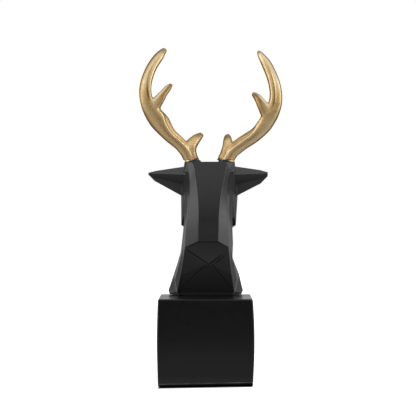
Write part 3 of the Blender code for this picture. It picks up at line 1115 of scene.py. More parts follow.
@dataclass
class Bust:
    """Neck, head, ears and stubs, cast as one.

    Attributes:
        paint: Its finish.
        grooves: The engraved lines of its back.
        merge: Distance within which the solid's points are one.
        flat_turn: Angle in degrees up to which triangles belong to one facet.
        least_turn: Angle in degrees from which facets meet in a line.
        coarse: Longest edge on the open facets.
        fine: Longest edge beside a line.
        groove_step: Longest edge at an engraved line.
        groove_half: Half the width of an engraved line.
        groove_reach: How far outside it an edge still counts as at the line, as a share of its own length.
        halvings: How often edges are looked over for halving.
        soft_rounds: How often shallow bends are averaged.
        soft_weight: Share by which they are, each time.
        line_rounds: How often the whole surface is averaged after that.
        line_weight: Share by which the lines themselves are rounded off, each time.
        corner_share: Share of that for the points where several lines meet.
        open_weight: Share for the points between the lines.
        facing_back: Least share of Y in the normals of facets that take an engraved line.
        facing_soft: How much more than that gives the engraving its full depth.
    """

    paint: bpy.types.Material
    grooves: tuple[Groove, ...]
    merge: float = 0.001 * MM
    flat_turn: float = 0.4
    least_turn: float = 8.0
    coarse: float = 1.8 * MM
    fine: float = 0.72 * MM
    groove_step: float = 0.28 * MM
    groove_half: float = 0.5 * MM
    groove_reach: float = 0.4
    halvings: int = 9
    soft_rounds: int = 40
    soft_weight: float = 0.5
    line_rounds: int = 3
    line_weight: float = 0.22
    corner_share: float = 0.3
    open_weight: float = 0.1
    facing_back: float = 0.35
    facing_soft: float = 0.1

    def read_solid(self) -> Shell:
        """The solid's own shell, with its points merged and its facets kept whole.

        Returns:
            The shell, with the lines where facets meet.
        """
        solid = bmesh.new()
        solid.from_mesh(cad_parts["deer_bust"].data)
        bmesh.ops.remove_doubles(solid, verts=solid.verts, dist=self.merge)
        turn = math.radians(self.flat_turn)
        bmesh.ops.dissolve_limit(solid, angle_limit=turn, verts=solid.verts, edges=solid.edges)
        bmesh.ops.triangulate(solid, faces=solid.faces)
        copy = bpy.data.meshes.new("bust_copy")
        solid.to_mesh(copy)
        solid.free()
        shell = Shell.read(copy)
        bpy.data.meshes.remove(copy)
        shell.keep_sharp(self.least_turn)
        return shell

    def groove_off(self, points: np.ndarray) -> np.ndarray:
        """Distance of each point from the nearest engraved line."""
        return np.min([groove.off(points)[0] for groove in self.grooves], axis=0)

    def refine(self, shell: Shell) -> None:
        """Halves edges until they are short enough: finest at engraved lines, fine beside the lines where
        facets meet, and coarse elsewhere.

        Args:
            shell: The shell to refine.
        """
        for _ in range(self.halvings):
            first, second = shell.edges.T
            start, end = shell.points[first], shell.points[second]
            beside = shell.on_lines() > 0
            limit = np.where(beside[first] | beside[second], self.fine, self.coarse)
            length = np.linalg.norm(end - start, axis=1)
            back = shell.normals()[first, 1] > self.facing_back
            reach = self.groove_half + self.groove_reach * length
            near = self.groove_off((start + end) / 2) < reach
            limit = np.where(near & back, self.groove_step, limit)
            shell.halve(length > limit)

    def engrave(self, shell: Shell) -> np.ndarray:
        """Sinks the engraved lines: each is a V whose depth falls off evenly to its sides.

        Args:
            shell: The shell to engrave.

        Returns:
            How deep each point lies in a line, from 0 to 1.
        """
        facing = shell.normals()
        back = ease(facing[:, 1], self.facing_back, self.facing_back + self.facing_soft)
        depth = np.zeros(len(shell.points))
        for groove in self.grooves:
            off, share = groove.off(shell.points)
            shown = ease(1 - share, 0, groove.fade) * ease(share, *groove.begin) * back
            depth = np.maximum(depth, groove.depth * shown * np.clip(1 - off / self.groove_half, 0, 1))
        shell.points -= facing * depth[:, None]
        return depth / max(groove.depth for groove in self.grooves)

    def build(self) -> bpy.types.Object:
        """Refines the solid's facets, makes shallow bends smooth, rounds the lines off and engraves the back.

        Returns:
            The piece.
        """
        shell = self.read_solid()
        self.refine(shell)
        meeting = shell.on_lines()
        shell.smooth(self.soft_rounds, np.where(meeting > 0, 0.0, self.soft_weight))
        weight = np.where(meeting > 2, self.corner_share * self.line_weight, self.line_weight)
        shell.smooth(self.line_rounds, np.where(meeting > 0, weight, self.open_weight))
        sunk = self.engrave(shell)
        mesh = make_mesh("bust", shell.points, shell.triangles.tolist())
        # The edge values carry the painted highlight along the lines, and the hollow values the painted shade
        # in the engraved lines.
        edge = (meeting > 0).astype(float)[:, None]
        store(mesh, "edge", np.clip(edge + shell.mean_of_neighbours(edge), 0, 1)[:, 0])
        store(mesh, "hollow", sunk)
        return add_piece("bust", mesh, self.paint, "deer_bust")


BACK_GROOVES = (
    Groove((-2.5, 96.9), (16.3, 109.6), fade=0.15),
    Groove((-2.9, 96.9), (-15.7, 106.1), fade=0.45),
    Groove((-8.1, 97.4), (-16.8, 104.4), fade=0.3),
    Groove((-5.0, 97.0), (-22.6, 74.9), fade=0.06),
    Groove((0.6, 95.4), (20.9, 76.0), fade=0.3),
)


# Antlers


def strip(along: np.ndarray, start: float, end: float, turn: tuple[float, ...],
          fade: Pair) -> tuple[np.ndarray, np.ndarray]:
    """Follows a strip along a branch: its angle passes evenly from turn to turn, and it fades in and out.

    Args:
        along: Share of the branch's length of each ring.
        start: Share at which the strip begins.
        end: Share at which it ends.
        turn: Its angles at even steps from start to end, in degrees.
        fade: Shares of its length over which it comes up at its start and runs out at its end.

    Returns:
        Its angle at each ring in radians, and how much of it shows there, from 0 to 1.
    """
    line = np.radians(np.interp(along, np.linspace(start, end, len(turn)), turn))
    rise, run = (share * (end - start) for share in fade)
    return line, ease(along, start, start + rise) * ease(along, end, end - run)


@dataclass(frozen=True)
class Crest:
    """A ridge or groove that runs along a branch.

    Attributes:
        start: Where it begins, as a share of the branch's length.
        end: Where it ends.
        turn: Its angle round the branch at even steps from start to end, in degrees: 0 faces the middle, 90
            the back.
        height: Its height as a share of the radius, negative for a groove.
        width: Its width in degrees on the side of smaller and of larger angles.
        fade: Shares of its length over which it comes up at its start and runs out at its end.
        spread: How it falls off.
        sharpness: Power of a sharp one's fall-off.
    """

    start: float
    end: float
    turn: tuple[float, ...]
    height: float
    width: Pair
    fade: Pair = (0.25, 0.3)
    spread: Spread = Spread.ROUND
    sharpness: float = 1.3

    def relief(self, along: np.ndarray, angle: np.ndarray) -> np.ndarray:
        """Height of the crest over a branch: a fall-off round the branch, faded in and out along it.

        Args:
            along: Share of the branch's length of each ring, as a column.
            angle: Angle of each side in radians, as a row.

        Returns:
            A grid of heights in radii.
        """
        line, shown = strip(along, self.start, self.end, self.turn, self.fade)
        off = np.angle(np.exp(1j * (angle - line)))
        off = np.abs(off) / np.radians(np.where(off < 0, *self.width))
        sharp = self.spread is Spread.SHARP
        fall = np.maximum(1 - off, 0) ** self.sharpness if sharp else np.exp(-(off**2))
        return self.height * fall * shown


@dataclass(frozen=True)
class Flat:
    """A face planed along a branch, which leaves a ridge on either side.

    Attributes:
        start: Where it begins, as a share of the branch's length.
        end: Where it ends.
        turn: Angle that it faces at even steps from start to end, in degrees.
        depth: Its distance from the branch's line, as a share of the radius.
        fade: Share of its length over which it runs out at either end.
        clear: That distance where it has run out, beyond all ridges.
        least_cosine: Least cosine of the angle off its middle, which keeps the reach finite.
    """

    start: float
    end: float
    turn: tuple[float, ...]
    depth: float
    fade: float = 0.25
    clear: float = 1.25
    least_cosine: float = 0.2

    def limit(self, along: np.ndarray, angle: np.ndarray) -> np.ndarray:
        """How far the face lets each side reach: its depth over the cosine of the angle off its middle.

        Args:
            along: Share of the branch's length of each ring, as a column.
            angle: Angle of each side in radians, as a row.

        Returns:
            A grid of radii in shares, far beyond the branch where the face runs out.
        """
        middle, shown = strip(along, self.start, self.end, self.turn, (self.fade, self.fade))
        depth = self.depth + (self.clear - self.depth) * (1 - shown)
        return depth / np.maximum(np.cos(angle - middle), self.least_cosine)


@dataclass(frozen=True)
class Branch:
    """A beam or tine.

    Attributes:
        line: Its line as outward, back, up and radius in millimetres.
        crests: The ridges and grooves that run along it.
        flats: The faces planed along it.
        light_and_shade: Painted highlights and shade along it, given like crests with a tone as their height.
        webs: Middles and radii, given like points of the line, of the smooth webs in which it leaves the
            beam. The beam itself has none and stands on the stub.
    """

    line: Line
    crests: tuple[Crest, ...] = ()
    flats: tuple[Flat, ...] = ()
    light_and_shade: tuple[Crest, ...] = ()
    webs: Line = ()


@dataclass
class Antler:
    """One antler: a beam, a tine and a brow tine, grown together.

    Attributes:
        name: The piece's name.
        node: The solid that it stands for.
        side: The side of the deer that it grows on.
        branches: The beam, the tine and the brow tine.
        paint: Its finish.
        flatness: Depth of a cut as a share of its width.
        lobes: Height of the low lobes of every cut, as a share of the radius.
        lobe_count: How many lobes a cut has.
        streak: Depth of the fine streaks along the surface, as a share of the radius.
        streak_waves: Waves round a cut of the two patterns whose product they are.
        sways: Width in radians of the two swings of the streaks, and their radians along the branch.
        sway_gain: How much wider the second pattern swings.
        lip: How far the foot flares over the stub, as a share of the radius.
        lip_run: Share of the beam's length over which the flare dies away.
        seat: How far the foot comes down to the stub.
        foot_slice: Height of the slice of the solid that shows where its foot is.
        foot_free: Heights over the foot between which the webs' filling sets in. The last averaging leaves
            out what is below the lower one.
        level_reach: Height in radii over which the rings turn from level to square with the line.
        ridge_round: How far the ridges beside flat faces are rounded off, as a share of the radius.
        sides: Points in each ring.
        rings: Rings along a branch.
        tip_arc: Angle of the dome at its tip, in degrees.
        tip_steps: Rings of that dome.
        voxel: Edge length of the fused skin's faces.
        skin_rounds: How often the fused skin is averaged.
        skin_weight: Share by which it is, each time.
        fill_rounds: How often the webs are filled.
        fill_weight: Share by which they are, each time.
        web_core: Share of a web's radius within which it is filled in full.
        last_rounds: How often the filled skin is averaged.
        last_weight: Share by which it is, each time.
        blend: How fast the painted light and shade pass from one branch to the next, per radius.
    """

    name: str
    node: str
    side: Side
    branches: tuple[Branch, ...]
    paint: bpy.types.Material
    flatness: float = 0.8
    lobes: float = 0.07
    lobe_count: int = 3
    streak: float = 0.012
    streak_waves: tuple[int, int] = (11, 5)
    sways: tuple[Pair, Pair] = ((2.2, 4), (1.3, 9))
    sway_gain: float = 1.7
    lip: float = 0.03
    lip_run: float = 0.006
    seat: float = 0.28 * MM
    foot_slice: float = 0.05 * MM
    foot_free: Pair = (0.5 * MM, 2 * MM)
    level_reach: float = 2.0
    ridge_round: float = 0.03
    sides: int = 96
    rings: int = 170
    tip_arc: float = 84.0
    tip_steps: int = 8
    voxel: float = 0.33 * MM
    skin_rounds: int = 5
    skin_weight: float = 0.5
    fill_rounds: int = 110
    fill_weight: float = 0.9
    web_core: float = 0.5
    last_rounds: int = 3
    last_weight: float = 0.35
    blend: float = 9.0

    def foot(self) -> np.ndarray:
        """Middle of the foot of the solid that the antler stands for.

        Returns:
            The point.
        """
        points = np.unique(np.round(points_of(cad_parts[self.node].data), decimals=6), axis=0)
        return points[points[:, 2] < points[:, 2].min() + self.foot_slice].mean(axis=0)

    def from_middle(self, angle: np.ndarray) -> np.ndarray:
        """Angles counted from -X as angles counted from the side that faces the middle of the deer."""
        return angle if self.side is Side.LEFT else math.pi - angle

    def streaks(self, along: np.ndarray, angle: np.ndarray) -> np.ndarray:
        """Fine streaks: the product of two waves round the branch that sway together along it.

        Args:
            along: Share of the branch's length of each ring, as a column.
            angle: Angle of each side in radians, as a row.

        Returns:
            A grid of heights in radii.
        """
        (wide, slow), (narrow, quick) = self.sways
        sway = wide * np.sin(slow * along + self.side.value) + narrow * np.sin(quick * along)
        first, second = self.streak_waves
        return self.streak * np.sin(first * angle + sway) * np.sin(second * angle + self.sway_gain * sway)

    def section(self, branch: Branch, along: np.ndarray, angle: np.ndarray) -> np.ndarray:
        """Radius of a branch's cuts in shares: one, plus low lobes and fine streaks, cut back by the flat
        faces, plus the crests.

        Args:
            branch: The branch.
            along: Share of its length of each ring, as a column.
            angle: Angle of each side from -X in radians, as a row.

        Returns:
            A grid of shares.
        """
        facing = self.from_middle(angle)
        share = 1 + self.lobes * np.cos(self.lobe_count * angle + math.pi) + self.streaks(along, angle)
        for flat in branch.flats:
            over = share - flat.limit(along, facing)
            share = share - 0.5 * (over + np.sqrt(over**2 + self.ridge_round**2))
        for crest in branch.crests:
            share = share + crest.relief(along, facing)
        if not branch.webs:
            share = share + self.lip * np.exp(-((along / self.lip_run) ** 2))
        return share

    def axes(self, branch: Branch, foot: np.ndarray) -> tuple[np.ndarray, ...]:
        """Places and directions of a branch's rings: level close to the foot, and a small dome at the tip.

        Args:
            branch: The branch.
            foot: Where the antler stands.

        Returns:
            Centres, radii, width axes, depth axes and shares of the branch's length, one row per ring.
        """
        line = line_through(np.array(branch.line) * MM, self.rings)
        centres = line[:, :3] * (self.side.value, 1, 1) + foot
        tangents = np.gradient(centres, axis=0)
        ahead = unit(tangents[-1])
        dome = np.radians(np.linspace(0, self.tip_arc, self.tip_steps + 1)[1:, None])
        centres = np.vstack([centres, centres[-1] + ahead * line[-1, 3] * self.flatness * np.sin(dome)])
        tangents = unit(np.vstack([tangents, np.tile(ahead, (self.tip_steps, 1))]))
        radius = np.vstack([line[:, 3:], line[-1, 3] * np.cos(dome)])
        level = 1 - np.clip((centres[:, 2:] - foot[2]) / (self.level_reach * radius), 0, 1)
        tangents = unit(level * (0, 0, 1) + (1 - level) * tangents)
        if not branch.webs:
            centres[0, 2] -= self.seat
        depth_axis = unit(np.array((0, 1, 0)) - tangents * tangents[:, 1:2])
        along = np.linspace(0, 1, len(centres))[:, None]
        return centres, radius, np.cross(tangents, depth_axis), depth_axis, along

    def grow(self, branch: Branch, foot: np.ndarray) -> np.ndarray:
        """Carries a branch's cut along its line. A ring's point is the line's point, plus the radius times
        the cut's share along the width axis and the flattened depth axis, both square to the line.

        Args:
            branch: The branch.
            foot: Where the antler stands.

        Returns:
            A grid of points, one ring per row.
        """
        centres, radius, width_axis, depth_axis, along = self.axes(branch, foot)
        angle = 2 * math.pi * np.arange(self.sides)[None] / self.sides
        reach = radius * self.section(branch, along, angle)
        across = (reach * np.cos(angle))[:, :, None] * width_axis[:, None]
        deep = (reach * np.sin(angle) * self.flatness)[:, :, None] * depth_axis[:, None]
        return centres[:, None] + across + deep

    def tone(self, points: np.ndarray, foot: np.ndarray) -> np.ndarray:
        """Painted light and shade: each branch's painted bands, read at the nearest ring and at the angle
        round it, and blended by how near the branches are.

        Args:
            points: One row per point of the skin.
            foot: Where the antler stands.

        Returns:
            One value per point, from -1 for painted shade to 1 for painted highlight.
        """
        tones, nearness = [], []
        for branch in self.branches:
            centres, radius, width_axis, depth_axis, along = self.axes(branch, foot)
            squares = (points**2).sum(axis=1)[:, None] - 2 * points @ centres.T + (centres**2).sum(axis=1)
            ring = squares.argmin(axis=1)
            off = points - centres[ring]
            across, deep = ((off * axis[ring]).sum(axis=1) for axis in (width_axis, depth_axis))
            facing = self.from_middle(np.arctan2(deep / self.flatness, across))
            tones.append(sum(painted_band.relief(along[ring, 0], facing) for painted_band in branch.light_and_shade))
            nearness.append(-self.blend * np.linalg.norm(off, axis=1) / radius[ring, 0])
        weight = np.exp(np.array(nearness) - np.max(nearness, axis=0))
        return np.clip((weight * np.array(tones)).sum(axis=0) / weight.sum(axis=0), -1, 1)

    def fuse(self, foot: np.ndarray) -> bpy.types.Mesh:
        """Grows the branches and fuses them in one skin.

        Args:
            foot: Where the antler stands.

        Returns:
            The skin.
        """
        points, faces = [], []
        for branch in self.branches:
            grid = self.grow(branch, foot)
            faces += tube_grid(*grid.shape[:2], sum(map(len, points)))
            points.append(grid.reshape(-1, 3))
        mesh = make_mesh(self.name, np.vstack(points), faces)
        shape = bmesh.new()
        shape.from_mesh(mesh)
        bmesh.ops.recalc_face_normals(shape, faces=shape.faces)
        shape.to_mesh(mesh)
        shape.free()
        return voxel_skin(mesh, self.voxel)

    def web_weight(self, points: np.ndarray, foot: np.ndarray) -> np.ndarray:
        """How much of the way the skin is filled: in full within a web's core, and not at all beyond its
        radius or at the foot.

        Args:
            points: One row per point of the skin.
            foot: Where the antler stands.

        Returns:
            One share per point.
        """
        near = np.zeros(len(points))
        for web in (web for branch in self.branches for web in branch.webs):
            *middle, radius = np.array(web) * MM
            off = np.linalg.norm(points - foot - middle * np.array((self.side.value, 1, 1)), axis=1) / radius
            near = np.maximum(near, 1 - ease(off, self.web_core, 1.0))
        return self.fill_weight * near * ease(points[:, 2], *(foot[2] + rise for rise in self.foot_free))

    def build(self) -> bpy.types.Object:
        """Fuses the branches, fills the forks into webs and averages all but the foot.

        Returns:
            The piece.
        """
        foot = self.foot()
        mesh = self.fuse(foot)
        shell = Shell.read(mesh)
        shell.smooth(self.skin_rounds, self.skin_weight)
        shell.fill(self.fill_rounds, self.web_weight(shell.points, foot))
        base = shell.points[:, 2] < foot[2] + self.foot_free[0]
        shell.smooth(self.last_rounds, np.where(base, 0.0, self.last_weight))
        shell.write(mesh)
        # Painted light and shade along the branches, as one value per point.
        store(mesh, "tone", self.tone(shell.points, foot))
        return add_piece(self.name, mesh, self.paint, self.node)


# Lines of the branches from the foot to the tip: outward, back, up and radius, in millimetres

LEFT_BEAM = (
    (0.3, 0, 0, 6.6), (4.4, 2, 7.2, 5.9), (10.4, 4, 13.4, 5.2), (19, 7, 20.7, 5.5), (26.6, 9.5, 30.9, 7.3),
    (33.3, 11, 40.6, 6.6), (37.4, 11, 50, 5.3), (38.1, 9, 59.2, 4.9), (36.2, 6, 68.4, 4.5),
    (32.5, 2, 77.4, 4.2), (27.2, -3, 85.7, 3.8), (23.4, -7, 91, 2.3),
)
LEFT_TINE = (
    (32.0, 11.5, 42.2, 5.4), (27, 11.5, 48.7, 4.3), (23.3, 9.5, 54.1, 3.2), (19.9, 6.5, 58.6, 2.7),
    (17.8, 4.2, 61.2, 1.8),
)
LEFT_BROW = (
    (0.5, 0.4, 0.7, 5.9), (1.8, 1, 6.5, 5.5), (1.1, 0.4, 11.4, 5.2), (-2.2, -2, 16, 4.3),
    (-5.2, -5.5, 19, 3.3), (-7, -8, 20.7, 2.4),
)
RIGHT_BEAM = (
    (-0.1, 0, 0, 7.4), (4.9, 2, 6.9, 6.4), (12.5, 4, 12.6, 5.6), (22.9, 7, 19.1, 5.3),
    (31.5, 9.5, 27.2, 5.5), (36.2, 11, 36.5, 6.5), (39.9, 11.5, 45.1, 5.6), (40.7, 10, 53.8, 5.1),
    (39.4, 7.5, 62.6, 4.8), (36.7, 4, 71, 4.5), (32.9, -0.5, 79.7, 4.0), (28.7, -4.5, 86.6, 2.7),
    (26.8, -7, 89.6, 1.5),
)
RIGHT_TINE = (
    (34.4, 11.5, 36.4, 5.8), (29.9, 11.5, 43.8, 4.5), (26.4, 9.5, 49.5, 3.4), (23.8, 6.5, 52.6, 2.5),
    (22.3, 4.7, 53.8, 1.9),
)
RIGHT_BROW = (
    (-0.2, 0.4, 0.7, 6.7), (1.1, 1, 5.5, 5.8), (1.6, 0.4, 10.8, 4.7), (1.3, -2, 15.6, 3.8),
    (1.1, -5.5, 18.6, 3.0), (1.1, -8, 20.1, 2.1),
)

# Ridges, grooves, flat faces and painted light and shade along the branches, whose angles are in degrees

LEFT_RIDGE = (94, 88, 80, 77, 71, 35)
LEFT_GROOVE = (64, 73, 86, 91, 88)
LEFT_INNER = (38, 46, 56, 62, 60)
LEFT_FLATS = (
    Flat(-0.15, 0.46, (54, 48, 40, 36, 30, -6), 0.80),
    Flat(-0.15, 0.44, (126, 118, 110, 107, 98, 66), 0.88),
)
LEFT_CRESTS = (
    Crest(-0.15, 0.44, LEFT_RIDGE, 0.10, (26, 12), (0.1, 0.3), Spread.SHARP),
    Crest(-0.15, 0.42, (110, 104, 96, 93, 86, 56), -0.06, (10, 20), (0.1, 0.35)),
    Crest(0.12, 0.42, (0, 0), 0.17, (50, 45), (0.4, 0.35)),
    Crest(0.50, 0.86, LEFT_GROOVE, -0.18, (11, 12), (0.2, 0.5)),
    Crest(0.50, 0.9, LEFT_INNER, 0.07, (20, 20)),
    Crest(0.40, 1.1, (280, 275), 0.12, (45, 45), spread=Spread.SHARP),
)
LEFT_LIGHT_AND_SHADE = (
    Crest(-0.15, 0.44, LEFT_RIDGE, 1.0, (17, 6), (0.1, 0.2), Spread.SHARP),
    Crest(0.06, 0.47, (26, 22, 18, 8, -18), -0.5, (40, 30), (0.35, 0.2)),
    Crest(-0.12, 0.46, (112, 106, 98, 95, 90, 60), -0.5, (10, 18), (0.15, 0.3)),
    Crest(-0.05, 0.5, (144, 138, 130, 124, 120), 0.3, (28, 20), (0.2, 0.3)),
    Crest(0.38, 0.60, (60, 66, 72), -0.25, (36, 36), (0.4, 0.4)),
    Crest(0.12, 0.70, (172, 174), -1.0, (28, 40), (0.2, 0.3)),
    Crest(0.55, 1.06, (104, 108, 108, 100), 0.8, (32, 32), (0.2, 0.28)),
    Crest(0.52, 1.2, (166, 170), -1.3, (32, 40), (0.2, 0.1)),
    Crest(0.48, 0.9, LEFT_GROOVE, -1.1, (9, 10), (0.15, 0.5)),
    Crest(0.44, 1.1, (36, 44, 52, 58, 56), 0.3, (10, 12), (0.1, 0.2)),
    Crest(0.44, 1.1, (8, 10, 16, 20, 16), -1.1, (24, 21), (0.1, 0.2)),
    Crest(0.86, 1.3, (70, 70), -0.95, (80, 80), (0.2, 0.1)),
)
RIGHT_RIDGE = (88, 80, 77, 77, 62, 34)
RIGHT_GROOVE = (74, 68, 79, 85, 80)
RIGHT_INNER = (44, 40, 48, 54, 52)
RIGHT_FLATS = (
    Flat(-0.12, 0.35, (48, 40, 36, 36, 20, -8), 0.80),
    Flat(-0.12, 0.35, (120, 110, 106, 105, 90, 62), 0.88),
)
RIGHT_CRESTS = (
    Crest(-0.12, 0.35, RIGHT_RIDGE, 0.10, (26, 12), (0.1, 0.2), Spread.SHARP),
    Crest(-0.12, 0.35, (104, 95, 92, 92, 78, 50), -0.06, (10, 20), (0.1, 0.35)),
    Crest(0.12, 0.40, (0, 0), 0.24, (50, 45), (0.4, 0.35)),
    Crest(0.45, 0.86, RIGHT_GROOVE, -0.20, (11, 12), (0.2, 0.5)),
    Crest(0.45, 0.9, RIGHT_INNER, 0.07, (20, 20)),
    Crest(0.66, 0.97, (104, 100), -0.07, (9, 9)),
    Crest(0.40, 1.1, (280, 275), 0.12, (45, 45), spread=Spread.SHARP),
)
RIGHT_LIGHT_AND_SHADE = (
    Crest(-0.12, 0.36, RIGHT_RIDGE, 1.0, (24, 6), (0.1, 0.2), Spread.SHARP),
    Crest(0.06, 0.37, (22, 16, 12, 2, -18), -0.4, (40, 28), (0.35, 0.2)),
    Crest(-0.10, 0.37, (106, 98, 94, 94, 82, 56), -0.5, (10, 18), (0.15, 0.3)),
    Crest(-0.05, 0.46, (138, 128, 122, 118, 112), 0.45, (30, 20), (0.2, 0.3)),
    Crest(0.34, 0.54, (60, 66, 72), -0.1, (36, 36), (0.4, 0.4)),
    Crest(0.10, 0.64, (172, 174), -1.0, (28, 40), (0.2, 0.3)),
    Crest(0.49, 1.2, (104, 108, 106, 100), 0.85, (34, 36), (0.2, 0.1)),
    Crest(0.46, 1.2, (166, 170), -1.3, (32, 40), (0.2, 0.1)),
    Crest(0.42, 0.9, RIGHT_GROOVE, -1.1, (9, 10), (0.15, 0.5)),
    Crest(0.40, 1.1, (42, 40, 46, 52, 50), 0.3, (10, 12), (0.1, 0.2)),
    Crest(0.40, 1.1, (8, 8, 14, 18, 16), -1.1, (24, 21), (0.1, 0.2)),
    Crest(0.90, 1.3, (40, 40), -0.5, (50, 50), (0.15, 0.1)),
)
TINE_FLATS = (Flat(-0.1, 1.0, (108, 112), 0.84, 0.2),)
TINE_CRESTS = (Crest(-0.1, 1.1, (148, 150), 0.08, (30, 18), (0.1, 0.2), Spread.SHARP),)
TINE_LIGHT_AND_SHADE = (
    Crest(-0.1, 1.4, (136, 140), 1.5, (15, 50), (0.1, 0.1)),
    Crest(0.05, 1.15, (92, 96), -0.75, (50, 26), (0.3, 0.3)),
    Crest(0.0, 1.4, (5, 5), -0.9, (40, 40), (0.1, 0.1)),
)
BROW_LIGHT_AND_SHADE = (
    Crest(-0.2, 1.3, (110, 110), 0.2, (50, 60), (0.1, 0.1)),
    Crest(-0.2, 1.3, (10, 0), -0.9, (40, 34), (0.1, 0.1)),
)
BRANCHES = {
    Side.LEFT: (
        Branch(LEFT_BEAM, LEFT_CRESTS, LEFT_FLATS, LEFT_LIGHT_AND_SHADE),
        Branch(LEFT_TINE, TINE_CRESTS, TINE_FLATS, TINE_LIGHT_AND_SHADE, ((30, 13, 45, 10), (26, 10, 40, 8.5))),
        Branch(LEFT_BROW, light_and_shade=BROW_LIGHT_AND_SHADE, webs=((3.8, 2.5, 12.5, 8.5), (-2.5, 0, 3, 5))),
    ),
    Side.RIGHT: (
        Branch(RIGHT_BEAM, RIGHT_CRESTS, RIGHT_FLATS, RIGHT_LIGHT_AND_SHADE),
        Branch(RIGHT_TINE, TINE_CRESTS, TINE_FLATS, TINE_LIGHT_AND_SHADE, ((33, 13, 39.5, 10), (29.5, 10, 32.5, 9))),
        Branch(RIGHT_BROW, light_and_shade=BROW_LIGHT_AND_SHADE, webs=((4.5, 2.5, 10.5, 8.5), (-3.5, 0, 3, 5))),
    ),
}


def antler(side: Side, paint: bpy.types.Material) -> Antler:
    """The antler on one side of the deer.

    Args:
        side: The side.
        paint: Its finish.

    Returns:
        The antler, not yet built.
    """
    word = side.name.lower()
    return Antler(f"antler_gold_{word}", f"antler_{word}", side, BRANCHES[side], paint)


# Studio


@dataclass(frozen=True)
class Softbox:
    """A rectangular studio lamp.

    Attributes:
        name: Its name.
        place: Where it stands.
        width: Its width in metres.
        height: Its height in metres.
        power: Its power in watts.
    """

    name: str
    place: Point
    width: float
    height: float
    power: float

    def build(self, aim: Point) -> None:
        """Puts the lamp up, turned towards a point.

        Args:
            aim: The point that it faces.
        """
        lamp = bpy.data.lights.new(self.name, "AREA")
        lamp.shape = "RECTANGLE"
        lamp.size = self.width
        lamp.size_y = self.height
        lamp.energy = self.power
        holder = bpy.data.objects.new(self.name, lamp)
        bpy.context.scene.collection.objects.link(holder)
        holder.location = self.place
        away = np.array(aim) - np.array(self.place)
        turn = math.atan2(-away[0], away[1])
        tip = math.atan2(math.hypot(away[0], away[1]), -away[2])
        holder.rotation_euler = (tip, 0, turn)
        holder.visible_camera = False


